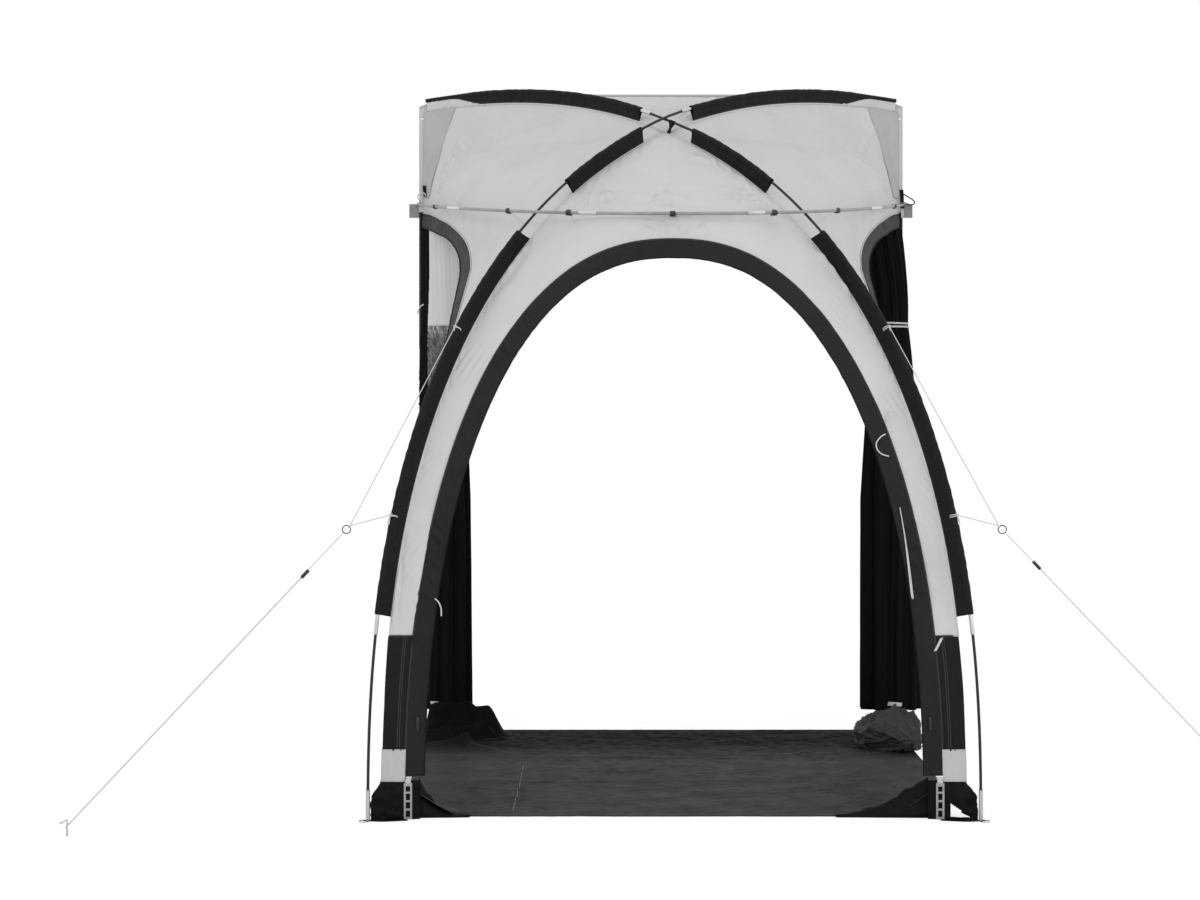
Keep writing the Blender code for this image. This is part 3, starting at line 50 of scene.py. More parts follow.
lensData = bpy.data.cameras.new("camera")
lensData.sensor_width = photo["sensor"]
lensData.lens = photo["lens"]
lensData.shift_x = photo["shiftX"]
lensData.shift_y = photo["shiftY"]
camera = bpy.data.objects.new("camera", lensData)
camera.location = photo["place"]
camera.rotation_euler = (math.radians(90), 0, 0)
scene.collection.objects.link(camera)
scene.camera = camera

# lines of the frame, in metres, as the solids have them
arch = {
    "reach": 1.70, "halfWidth": 0.975, "railOverhang": 0.015, "poleHeight": 2.575, "round": 2.45,
    "poleRadius": 0.0048, "finFoot": 0.053, "finRail": 0.041, "seamLift": 0.0019, "stations": 721,
    "crossSpread": 0.16, "crossGap": 0.0012, "footSection": 0.640, "crownJoint": 0.125,
}
brow = {"radius": 0.0055, "wallHeight": 2.150, "round": 2.3, "cross": 0.262, "wallGap": 0.016, "slack": 0.026}
door = {"half": 0.860, "height": 1.866, "round": 2.3, "trimFoot": 0.140}
sideOpening = {
    "trim": 0.055, "trimFoot": 0.130, "bulge": 0.26, "bulgeFront": 3, "bulgeRear": 8,
    "arch": (
        (0.003, 0.8195), (0.147, 0.801), (0.260, 0.783), (0.350, 0.750), (0.412, 0.699), (0.478, 0.650),
        (0.560, 0.590), (0.660, 0.497), (0.765, 0.381), (0.860, 0.240), (0.905, 0.120), (0.925, 0.050),
    ),
}
front = {"full": 2.6, "lean": 4.0, "crownGap": 0.012, "setback": 0.0017}
leg = {"band": 0.583, "patch": 0.224, "flap": 0.125, "flapInner": 0.812, "hem": 0.0008}

sides = {-1: "left", 1: "right"}
diagonal = math.hypot(2 * arch["halfWidth"], arch["reach"])
railY = arch["reach"] / 2
railHalf = arch["halfWidth"] + arch["railOverhang"]
clothRear = 0.0053            # wall to the panels' rear edges


def travelled(line):
    # distance from a line's start to each of its places
    return np.concatenate([[0.0], np.cumsum(np.linalg.norm(np.diff(line, axis=0), axis=1))])


def eased(part):
    # kept within 0 and 1, with soft ends
    part = np.clip(part, 0, 1)
    return part * part * (3 - 2 * part)


def archLine(footInset, railInset):
    turn = np.linspace(0.0, math.pi / 2, arch["stations"])
    power = 2.0 / arch["round"]
    run = diagonal * (1.0 - np.cos(turn) ** power)
    rise = arch["poleHeight"] * np.sin(turn) ** power
    run[-1] = diagonal
    alongRun, alongRise = np.gradient(run), np.gradient(rise)
    size = np.hypot(alongRun, alongRise)
    length = np.concatenate([[0.0], np.cumsum(np.hypot(np.diff(run), np.diff(rise)))])
    inset = footInset + (railInset - footInset) * length / length[-1]
    return run + inset * alongRise / size, rise - inset * alongRun / size, length


poleLine = archLine(0.0, 0.0)
seamLine = archLine(arch["finFoot"] + arch["seamLift"], arch["finRail"] + arch["seamLift"])
poleEnd = float(poleLine[2][-1])


def spot(run, rise, foot):
    x = foot * arch["halfWidth"] * (1 - 2 * run / diagonal)
    return Vector((x, railY - arch["reach"] * (1 - run / diagonal), rise))


def poleSpot(length, foot, inset=0.0, parted=True):
    run, rise = (float(np.interp(length, poleLine[2], poleLine[part])) for part in (0, 1))
    ahead, behind = min(length + 0.001 * diagonal, poleEnd), max(length - 0.001 * diagonal, 0.0)
    slope = [
        float(np.interp(ahead, poleLine[2], poleLine[part]) - np.interp(behind, poleLine[2], poleLine[part]))
        for part in (0, 1)
    ]
    size = math.hypot(*slope)
    if parted:
        partWay = (run - diagonal / 2) / arch["crossSpread"]
        inset += (2 * arch["poleRadius"] + arch["crossGap"]) / 2 * math.exp(-partWay * partWay) * foot
    return spot(run + inset * slope[1] / size, rise - inset * slope[0] / size, foot)


def finDepth(length):
    return arch["finFoot"] + (arch["finRail"] - arch["finFoot"]) * length / poleEnd


def poleFrame(length, foot):
    # a place on a pole, and the way from it to the seam below
    middle = poleSpot(length, foot)
    return middle, (poleSpot(length, foot, finDepth(length), parted=False) - middle).normalized()


def lengthAtRun(share):
    return float(np.interp(share * diagonal, poleLine[0], poleLine[2]))


def lengthAtHeight(height):
    return float(np.interp(height, poleLine[1], poleLine[2]))


def seamRun(height):
    return np.interp(height, seamLine[1], seamLine[0])


def seamHeight(run):
    return np.interp(run, seamLine[0], seamLine[1])


def seamEdge(height):
    run = seamRun(height)
    return np.abs(arch["halfWidth"] * (1 - 2 * run / diagonal)), arch["reach"] * (1 - run / diagonal)


crossHeight = float(seamHeight(diagonal / 2))
browBelow = arch["poleRadius"] + brow["radius"] + arch["crossGap"]
browCross = poleSpot(lengthAtRun(brow["cross"]), -1, -browBelow)
browReach = (railY - browCross.y) / (1 - (abs(browCross.x) / railHalf) ** brow["round"])
browFall = (brow["wallHeight"] - browCross.z) / (railY - browCross.y)
browMiddle = brow["wallHeight"] - browFall * browReach


def browSpot(share):
    places = np.linspace(-1, 1, 33)
    depth = brow["wallGap"] + (browReach - brow["wallGap"]) * (1 - np.abs(places) ** brow["round"])
    line = (railHalf * places, railY - depth, brow["wallHeight"] - browFall * depth)
    return Vector([float(np.interp(share, places, part)) for part in line])


def centreDepth(height):
    foot = seamEdge(0.0)[1]
    near = browReach - brow["slack"]
    low = foot + (near - foot) * (np.clip(height, 0.0, None) / browMiddle) ** front["lean"]
    part = np.clip((height - browMiddle) / (crossHeight - browMiddle), 0.0, 1.0)
    return np.where(height <= browMiddle, low, near + (arch["reach"] / 2 - near) * part)


def frontSpots(x, height):
    x, height = np.asarray(x, float), np.asarray(height, float)
    edgeX, edgeY = seamEdge(height)
    part = np.minimum(1.0, np.abs(x) / np.maximum(edgeX, 0.002))
    depth = edgeY + (centreDepth(height) - edgeY) * (1 - part ** front["full"])
    return np.stack([x, railY - depth, height], axis=-1)


def sideSpots(depth, height, side):
    depth, height = np.asarray(depth, float), np.asarray(height, float)
    edgeX, edgeY = seamEdge(height)
    part = np.clip(1.0 - depth / np.maximum(edgeY, 0.002), 0.0, 1.0)
    off = (height - (brow["wallHeight"] - browFall * depth)) / sideOpening["bulge"]
    pull = np.exp(-off * off) * (1 - (1 - part) ** sideOpening["bulgeFront"])
    pull = pull * (1 - part ** sideOpening["bulgeRear"])
    straight = edgeX + (arch["halfWidth"] - edgeX) * part
    back = np.clip((depth - brow["wallGap"]) / (browReach - brow["wallGap"]), 0.0, 1.0)
    pulled = railHalf * (1 - back) ** (1 / brow["round"]) - brow["slack"]
    x = straight + np.maximum(0.0, pulled - straight) * pull
    return np.stack([side * x, railY - depth, height], axis=-1)


def roofSpots(across, share):
    start = diagonal / 2 + front["crownGap"]
    end = diagonal * (1 - clothRear / arch["reach"])
    run = start + (end - start) * share
    height = seamHeight(run)
    edge = np.abs(arch["halfWidth"] * (1 - 2 * run / diagonal)) - front["setback"]
    return np.stack([edge * across, railY - arch["reach"] * (1 - run / diagonal), height], axis=-1)


def even(line, count):
    line = np.asarray(line, float)
    length = travelled(line)
    places = np.linspace(0.0, length[-1], count)
    return np.stack([np.interp(places, length, line[:, part]) for part in range(line.shape[1])], axis=1)


def smoothLine(points, count):
    points = np.array(points, float)
    ends = np.vstack([2 * points[0] - points[1], points, 2 * points[-1] - points[-2]])
    fine = []
    for a, b, c, d in zip(ends, ends[1:], ends[2:], ends[3:]):
        for t in np.linspace(0.0, 1.0, 24, endpoint=False):
            fine.append(0.5 * (2 * b + (c - a) * t + (2 * a - 5 * b + 4 * c - d) * t ** 2
                               + (3 * b - a - 3 * c + d) * t ** 3))
    fine.append(points[-1])
    return even(np.array(fine), count)


def beside(line, distance):
    slope = np.gradient(line, axis=0)
    slope /= np.linalg.norm(slope, axis=1)[:, None]
    return line + distance * np.stack([slope[:, 1], -slope[:, 0]], axis=1)


def along(line, shares):
    places = np.asarray(shares, float) * (len(line) - 1)
    columns = [np.interp(places, np.arange(len(line)), line[:, part]) for part in range(line.shape[1])]
    return np.stack(columns, -1)


def shareAtHeight(line, height, firstHalf):
    shares = np.linspace(0.0, 1.0, len(line))
    top = int(np.argmax(line[:, 1]))
    if firstHalf:
        return float(np.interp(height, line[: top + 1, 1], shares[: top + 1]))
    return float(np.interp(-height, -line[top:, 1], shares[top:]))


def evenShares(line, first, last, count):
    length = travelled(line)
    shares = np.linspace(0.0, 1.0, len(line))
    ends = np.interp([first, last], shares, length)
    return np.interp(np.linspace(*ends, count), length, shares)


doorTurn = np.linspace(0.0, math.pi, 161)
doorEdge = np.stack([
    -door["half"] * np.sign(np.cos(doorTurn)) * np.abs(np.cos(doorTurn)) ** (2 / door["round"]),
    door["height"] * np.abs(np.sin(doorTurn)) ** (2 / door["round"]),
], axis=1)
sideEdge = smoothLine([(d * arch["reach"], h * arch["poleHeight"]) for d, h in sideOpening["arch"]], 161)

# finishes of cloth: colour, how far it mottles and soils, roughness, threads per metre, relief, sheen, gloss
finishes = {
    "paleCloth": ((0.690, 0.682, 0.668), 0.90, 0.78, 900, 0.12, 0.05, 0.20),
    # darker copy of the pale cloth: painted shade for the rear corners
    "duskCloth": ((0.520, 0.515, 0.506), 0.82, 0.80, 900, 0.14, 0.05, 0.20),
    # lighter copy of the pale cloth: painted light on the gathered left panel, which hangs in shade
    "paintedLightCurtainCloth": ((0.800, 0.795, 0.785), 0.92, 0.78, 900, 0.08, 0.05, 0.20),
    "trimCloth": ((0.0180, 0.0180, 0.0177), 0.60, 0.58, 700, 0.24, 0.00, 0.15),
    "sideTrimCloth": ((0.066, 0.066, 0.065), 0.72, 0.72, 700, 0.24, 0.02, 0.10),
    "sleeveCloth": ((0.0125, 0.0125, 0.0125), 0.62, 0.60, 700, 0.25, 0.02, 0.12),
    "bandCloth": ((0.0130, 0.0130, 0.0130), 0.62, 0.62, 650, 0.25, 0.02, 0.12),
    "patchCloth": ((0.600, 0.598, 0.590), 0.86, 0.74, 650, 0.16, 0.04, 0.20),
    "flapCloth": ((0.0050, 0.0050, 0.0050), 0.60, 0.46, 600, 0.22, 0.00, 0.09),
    "drapeCloth": ((0.0042, 0.0042, 0.0042), 0.60, 0.66, 700, 0.18, 0.01, 0.06),
    # the sheet's strong mottling is partly its own tone and partly painted highlight streaks of its sheen
    "groundCloth": ((0.0780, 0.0780, 0.0785), 0.36, 0.60, 420, 0.30, 0.00, 0.02),
    "rollCloth": ((0.047, 0.048, 0.052), 0.62, 0.62, 600, 0.24, 0.02, 0.12),
    "blackWebbing": ((0.009, 0.009, 0.009), 0.60, 0.62, 520, 0.35, 0.02, 0.10),
    "paleWebbing": ((0.680, 0.680, 0.670), 0.80, 0.66, 520, 0.30, 0.05, 0.20),
    "thread": ((0.560, 0.560, 0.550), 0.85, 0.60, 1500, 0.10, 0.00, 0.20),
    "darkThread": ((0.190, 0.190, 0.188), 0.75, 0.60, 1500, 0.10, 0.00, 0.20),
}
weave = {
    "distortion": 0.6, "mottle": 7, "mottleRough": 0.62, "mottleDepth": 0.55, "scuff": 45,
    "threadTone": 0.10, "threadDepth": 0.0004, "crumpleDepth": 0.003, "sheenRough": 0.5,
}
# finishes of hard parts: colour, roughness, then what differs from the usual
hardFinishes = {
    "blackRod": ((0.006, 0.006, 0.006), 0.48, dict(grain=500, dark=0.7)),
    "steel": ((0.66, 0.66, 0.66), 0.28, dict(metallic=1.0, grain=1400, streak=0.05, dark=0.85)),
    "greyRod": ((0.34, 0.335, 0.325), 0.40, dict(metallic=0.35)),
    "blackPlastic": ((0.014, 0.014, 0.014), 0.42, dict(grain=1500, relief=0.25)),
    "greyPlastic": ((0.27, 0.265, 0.26), 0.5, dict(grain=1500, relief=0.25)),
    "paleRubber": ((0.38, 0.38, 0.37), 0.58, dict(grain=1200, relief=0.3)),
}


def newMaterial(name):
    made = bpy.data.materials.new(name)
    made.use_nodes = True
    return made, made.node_tree


def feed(tree, node, inputs):
    # links an input to another node's output, or sets its value
    for key, value in inputs.items():
        if isinstance(value, bpy.types.NodeSocket):
            tree.links.new(value, node.inputs[key])
        else:
            node.inputs[key].default_value = value


def addNode(tree, kind, output, inputs=(), **settings):
    node = tree.nodes.new("ShaderNode" + kind)
    for key, value in settings.items():
        setattr(node, key, value)
    feed(tree, node, dict(inputs))
    return node.outputs[output]


def addRamp(tree, share, *stops):
    node = tree.nodes.new("ShaderNodeValToRGB")
    for element, (place, colour) in zip(node.color_ramp.elements, stops):
        element.position = place
        element.color = (*colour, 1)
    feed(tree, node, {"Fac": share})
    return node.outputs["Color"]


def darken(tree, colour, other, share=1.0):
    inputs = {"Color1": colour, "Color2": other, "Fac": share}
    return addNode(tree, "MixRGB", "Color", inputs, blend_type="MULTIPLY")


def addBump(tree, height, strength, distance, normal=None):
    inputs = {"Height": height, "Strength": strength, "Distance": distance}
    if normal:
        inputs["Normal"] = normal
    return addNode(tree, "Bump", "Normal", inputs)


def clothMaterial(name, colour, dark, rough, threads, relief, sheen, gloss):
    # woven: two crossing thread waves, slow mottling, worn and soiled hems
    made, tree = newMaterial(name)
    cut = addNode(tree, "UVMap", "UV", uv_map="cut")
    place = addNode(tree, "TexCoord", "Object")
    waves = [
        addNode(tree, "TexWave", "Fac", {
            "Vector": cut, "Scale": threads * math.pi / 10, "Detail": 1.0,
            "Distortion": weave["distortion"],
        }, bands_direction=direction) for direction in "XY"
    ]
    woven = addNode(tree, "Math", "Value", {0: waves[0], 1: waves[1]}, operation="MULTIPLY")
    mottle = addNode(tree, "TexNoise", "Fac", {
        "Vector": place, "Scale": weave["mottle"], "Detail": 6, "Roughness": weave["mottleRough"],
    })
    deep = [part * (1 - (1 - dark) * weave["mottleDepth"]) for part in colour]
    tone = addRamp(tree, mottle, (0.34, deep), (0.66, colour))
    hem = addNode(tree, "Attribute", "Fac", attribute_name="hem")       # 1 at a cut edge, 0 inside
    scuff = addNode(tree, "TexNoise", "Fac", {"Vector": place, "Scale": weave["scuff"], "Detail": 4})
    soil = addNode(tree, "Math", "Value", {0: hem, 1: scuff}, operation="MULTIPLY")
    tone = darken(tree, tone, (dark, dark, dark, 1), soil)
    fine = addBump(tree, woven, relief, weave["threadDepth"])
    feed(tree, tree.nodes["Principled BSDF"], {
        "Base Color": darken(tree, tone, woven, weave["threadTone"]), "Roughness": rough,
        "Sheen Weight": sheen, "Sheen Roughness": weave["sheenRough"],
        "Specular IOR Level": gloss, "Normal": addBump(tree, scuff, relief, weave["crumpleDepth"], fine),
    })
    return made


def hardMaterial(name, colour, rough, metallic=0.0, grain=900, relief=0.10, streak=1.0, dark=0.8):
    # plastic, rubber or metal with fine grain, drawn out along Z for brushed metal
    made, tree = newMaterial(name)
    place = addNode(tree, "TexCoord", "Object")
    drawn = addNode(tree, "Mapping", "Vector", {"Vector": place, "Scale": (1, 1, streak)})
    fine = addNode(tree, "TexNoise", "Fac", {"Vector": drawn, "Scale": grain, "Detail": 3})
    wide = addNode(tree, "TexNoise", "Fac", {"Vector": place, "Scale": 18, "Detail": 5})
    feed(tree, tree.nodes["Principled BSDF"], {
        "Metallic": metallic, "Normal": addBump(tree, fine, relief, 0.0003),
        "Base Color": addRamp(tree, wide, (0.35, [part * dark for part in colour]), (0.62, colour)),
        "Roughness": addNode(tree, "MapRange", "Result", {
            "Value": fine, "To Min": rough * 0.8, "To Max": min(1.0, rough * 1.25),
        }),
    })
    return made


def cordMaterial(name, colour):
    # braided cord: slanting strands round the line
    made, tree = newMaterial(name)
    strands = addNode(tree, "TexWave", "Fac", {
        "Vector": addNode(tree, "TexCoord", "Object"), "Scale": 160, "Distortion": 1.5,
    }, bands_direction="DIAGONAL")
    feed(tree, tree.nodes["Principled BSDF"], {
        "Base Color": addRamp(tree, strands, (0.0, [part * 0.72 for part in colour]), (1.0, colour)),
        "Roughness": 0.75, "Normal": addBump(tree, strands, 0.3, 0.0004),
    })
    return made


def filmMaterial(name, colour):
    # clear window film that hangs in crumples, painted into its colour: painted shade where one looks
    # through, with painted glints on the ridges
    made, tree = newMaterial(name)
    drawn = addNode(tree, "Mapping", "Vector", {
        "Vector": addNode(tree, "TexCoord", "Object"), "Scale": (1, 1, 0.35),
    })
    crumpleAndGlint = addNode(tree, "TexNoise", "Fac", {"Vector": drawn, "Scale": 150, "Detail": 6, "Roughness": 0.7})
    feed(tree, tree.nodes["Principled BSDF"], {
        # painted glints and painted shade of the clear film, from the crumple noise
        "Base Color": addRamp(tree, crumpleAndGlint, (0.40, [part * 0.08 for part in colour]), (0.66, colour)),
        "Roughness": 0.16, "Specular IOR Level": 0.6, "Normal": addBump(tree, crumpleAndGlint, 0.8, 0.004),
    })
    return made


def fadeAlong(made, axis, start, full, darkest):
    # darkest before start and full colour past full, along one axis
    tree = made.node_tree
    shader = tree.nodes["Principled BSDF"]
    parts = addNode(tree, "SeparateXYZ", axis, {"Vector": addNode(tree, "TexCoord", "Object")})
    fade = addNode(tree, "MapRange", "Result", {
        "Value": parts, "From Min": start, "From Max": full, "To Min": darkest, "To Max": 1.0,
    }, interpolation_type="SMOOTHSTEP")
    before = shader.inputs["Base Color"].links[0].from_socket
    feed(tree, shader, {"Base Color": darken(tree, before, fade)})


material = {name: clothMaterial(name, *row) for name, row in finishes.items()}
for name, (colour, rough, others) in hardFinishes.items():
    material[name] = hardMaterial(name, colour, rough, **others)
material["cord"] = cordMaterial("cord", (0.72, 0.72, 0.70))
material["film"] = filmMaterial("film", (0.62, 0.63, 0.64))
fadeAlong(material["groundCloth"], "Y", 0.60, 0.08, 0.11)     # darker in the shade towards the wall
fadeAlong(material["film"], "Z", 1.590, 1.645, 0.30)          # darker below the tie
print("finishes made,", len(material))


def addObject(name, data, finish):
    item = bpy.data.objects.new(name, data)
    scene.collection.objects.link(item)
    data.materials.append(material[finish])
    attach(item, "awning")
    return item


def gridMesh(name, spots, closed=False, hemEdges="uv", hemWidth=0.02):
    # cloth from rows of places, with its cut size as UV in metres and its hems marked
    rows, cols = spots.shape[:2]
    stepU = np.linalg.norm(np.diff(spots, axis=1), axis=2).mean(axis=0)
    stepV = np.linalg.norm(np.diff(spots, axis=0), axis=2).mean(axis=1)
    u, v = (np.concatenate([[0.0], np.cumsum(step)]) for step in (stepU, stepV))
    number = np.arange(rows * cols).reshape(rows, cols)
    faces = np.stack([number[:-1, :-1], number[:-1, 1:], number[1:, 1:], number[1:, :-1]], axis=-1)
    faces = faces.reshape(-1, 4)
    if closed:
        wrap = np.stack([number[:-1, -1], number[:-1, 0], number[1:, 0], number[1:, -1]], axis=-1)
        faces = np.vstack([faces, wrap.reshape(-1, 4)])
    mesh = bpy.data.meshes.new(name)
    mesh.from_pydata(spots.reshape(-1, 3).tolist(), [], faces.tolist())
    corner = np.empty(len(mesh.loops), int)
    mesh.loops.foreach_get("vertex_index", corner)
    flat = np.stack(np.broadcast_arrays(u[None, :], v[:, None]), axis=-1).reshape(-1, 2)
    layer = mesh.uv_layers.new(name="cut")
    layer.data.foreach_set("uv", flat[corner].astype(np.float32).ravel())
    near = np.full((rows, cols), np.inf)
    if "u" in hemEdges and not closed:
        near = np.minimum(near, np.minimum(u, u[-1] - u)[None, :])
    if "v" in hemEdges:
        near = np.minimum(near, np.minimum(v, v[-1] - v)[:, None])
    mark = mesh.attributes.new("hem", "FLOAT", "POINT")
    mark.data.foreach_set("value", np.clip(1 - near / hemWidth, 0, 1).astype(np.float32).ravel())
    mesh.shade_smooth()
    return mesh


def thicken(item, thickness, offset=0.0):
    skin = item.modifiers.new("thickness", "SOLIDIFY")
    skin.thickness = thickness
    skin.offset = offset
    skin.use_even_offset = False
    return item


def addCloth(name, spots, finish, slot, thickness, replaced=None, offset=0.0, **hems):
    # cloth from rows of places, shown instead of the node that it replaces
    item = addObject(name, gridMesh(name, spots, **hems), finish)
    if replaced:
        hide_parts(replaced)
    return thicken(item, thickness, offset)


def normals(spots):
    a = np.gradient(spots, axis=1)
    b = np.gradient(spots, axis=0)
    n = np.cross(a, b)
    return n / np.maximum(np.linalg.norm(n, axis=2), 1e-9)[..., None]


def pushed(spots, shape, towards):
    # cloth moved off itself by shape, to the side that faces towards
    out = normals(spots)
    out = out * np.sign(out @ np.array(towards, float))[..., None]
    return spots + out * shape[..., None]


def drift(a, b, size, seed, stretch=1.0):
    # slow rolling noise from a few crossing waves, about -1 to 1
    dice = np.random.RandomState(seed)
    total = 0.0
    for _ in range(8):
        turn, rate, phase = dice.uniform(0, 2 * math.pi), dice.uniform(0.6, 1.7), dice.uniform(0, 2 * math.pi)
        way = a * math.cos(turn) + b * stretch * math.sin(turn)
        total = total + np.sin(way * rate * 2 * math.pi / size + phase)
    return total / 4


def folds(a, b, table):
    # listed creases: (a0, b0, a1, b1, width, depth), raised on one side and hollow on the other
    total = np.zeros(np.broadcast(a, b).shape)
    for a0, b0, a1, b1, width, depth in table:
        size = math.hypot(a1 - a0, b1 - b0)
        t = ((a - a0) * (a1 - a0) + (b - b0) * (b1 - b0)) / size ** 2
        off = ((a - a0) * (b1 - b0) - (b - b0) * (a1 - a0)) / size
        fade = eased(np.minimum(t + 0.12, 1.12 - t) * 4)
        off = off + 0.25 * width * np.sin(t * 9 + width * 900)
        crease = np.exp(-(off / width) ** 2) - 0.6 * np.exp(-((off - 1.7 * width) / width) ** 2)
        total += depth * fade * crease
    return total


def fan(a, b, centre, heading, spread, count, reach, depth, seed):
    # tension pleats that radiate from a pulled point, with heading and spread in degrees
    dice = np.random.RandomState(seed)
    heading, spread, start = math.radians(heading), math.radians(spread), 0.06 * reach
    table = []
    for number in range(count):
        turn = heading + spread * ((number + 0.5) / count - 0.5) + dice.uniform(-0.04, 0.04)
        long = reach * dice.uniform(0.6, 1.0)
        table.append((
            centre[0] + start * math.cos(turn), centre[1] + start * math.sin(turn),
            centre[0] + long * math.cos(turn), centre[1] + long * math.sin(turn),
            dice.uniform(0.5, 1.0) * reach * 0.028, depth * dice.uniform(0.5, 1.0),
        ))
    return folds(a, b, table)


def creased(a, b, table, fans):
    # listed creases, then the pleats of each fan
    shape = folds(a, b, table)
    for row in fans:
        shape = shape + fan(a, b, *row)
    return shape


stitch = {"pitch": 0.0065, "dash": 0.0042, "lift": 0.00005, "rise": 0.0006}


def stitches(name, path, lift, width=0.0009, finish="thread"):
    # a row of short threads on a path; lift gives the outward direction at each place
    path, lift = np.asarray(path, float), np.asarray(lift, float)
    length = travelled(path)
    pitch, dash, rise = stitch["pitch"], stitch["dash"], stitch["rise"]
    points, faces = [], []
    for start in np.arange(pitch, length[-1] - pitch, pitch):
        first, last = (
            np.array([np.interp(start + d, length, path[:, k]) for k in range(3)]) for d in (0.0, dash)
        )
        up = np.array([np.interp(start, length, lift[:, k]) for k in range(3)])
        up /= np.linalg.norm(up)
        side = np.cross(last - first, up)
        side *= width / 2 / max(np.linalg.norm(side), 1e-9)
        base = len(points)
        for share, high in ((0.0, 0.0), (0.3, rise), (0.7, rise), (1.0, 0.0)):
            end = first * (1 - share) + last * share
            points += [end + side * sign + up * (stitch["lift"] + high) for sign in (-1, 1)]
        faces += [(n, n + 1, n + 3, n + 2) for n in (base, base + 2, base + 4)]
    mesh = bpy.data.meshes.new(name)
    mesh.from_pydata([tuple(p) for p in points], [], faces)
    return addObject(name, mesh, finish)


def strap(name, path, across, width, thickness, finish, slot):
    # flat webbing along a path, with across giving its width direction
    path = even(path, max(8, 4 * len(path))) if len(path) > 2 else np.asarray(path, float)
    across = np.asarray(across, float) / np.linalg.norm(across)
    spots = np.stack([path + across * width * s for s in np.linspace(-0.5, 0.5, 5)], axis=1)
    return addCloth(name, spots, finish, slot, thickness, hemEdges="u", hemWidth=0.003)


def roundBar(name, path, radius, finish, radii=None, cyclic=False, resolution=3):
    # a round bar or cord as a smooth curve through the points
    data = bpy.data.curves.new(name, "CURVE")
    data.dimensions = "3D"
    data.bevel_depth = radius
    data.bevel_resolution = resolution
    data.use_fill_caps = True
    line = data.splines.new("POLY")
    line.points.add(len(path) - 1)
    for number, point in enumerate(path):
        line.points[number].co = (*point, 1.0)
        line.points[number].radius = radii[number] if radii else 1.0
    line.use_cyclic_u = cyclic
    line.use_smooth = True
    return addObject(name, data, finish)


# guy lines: heights on the sleeve, ring and peg as half width, depth from the wall and height
guy = {
    "radius": 0.0015, "upper": 1.580, "lower": 0.970, "ring": (1.043, 1.700, 0.930),
    "peg": (1.880, 1.890, 0.026), "strand": 0.016, "ringRadius": 0.0130, "ringWire": 0.0034,
    "tensioners": {-1: 0.190, 1: 0.155}, "sleeve": arch["poleRadius"] + 0.0029 + 0.0026, "gap": 0.0003,
}


def mirrored(point, side):
    return Vector((side * point[0], railY - point[1], point[2]))


def buildGuy(side):
    name = sides[side]
    centre, peg = mirrored(guy["ring"], side), mirrored(guy["peg"], side)
    way = (peg - centre).normalized()
    across = Vector((0, 0, 1)).cross(way).normalized()
    out = guy["sleeve"] + guy["radius"] + guy["gap"]
    upper, lower = (poleSpot(lengthAtHeight(guy[part]), side, -out) for part in ("upper", "lower"))
    wire = guy["ringWire"] / 2 + guy["radius"] + 2 * guy["gap"]
    inner = centre - way * guy["ringRadius"]
    angles = np.radians((150, 90, 30, -30, -90, -150))
    turn = [inner + (across * math.sin(a) + way * math.cos(a)) * wire for a in angles]
    bridle = [upper.lerp(turn[0], t) for t in np.linspace(0, 1, 16)] + turn[1:-1]
    bridle += [turn[-1].lerp(lower, t) for t in np.linspace(0, 1, 8)]
    start = centre + way * (guy["ringRadius"] + guy["ringWire"] / 2 + guy["gap"])
    half = guy["strand"] / 2
    far = peg - way * half
    bend = [
        far + way * half * math.sin(a) - across * half * math.cos(a) + across * half
        for a in np.radians(np.arange(0, 181, 30))
    ]
    back = centre + way * guy["tensioners"][side] + across * guy["strand"]
    line = [start.lerp(far, t) for t in np.linspace(0, 1, 30)][:-1] + bend
    line += [(far + across * guy["strand"]).lerp(back, t) for t in np.linspace(0, 1, 30)][1:]
    for kind, path, end, held in (("bridle", bridle, "object", []),
                                  ("line", line, "fitting", [f"{name}_tensioner", f"{name}_guy_ring"])):
        item = roundBar(f"{name}_{kind}_cord", path, guy["radius"], "cord")
        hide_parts(f"{name}_guy_{kind}")


for side in sides:
    buildGuy(side)
print("guy lines laid")

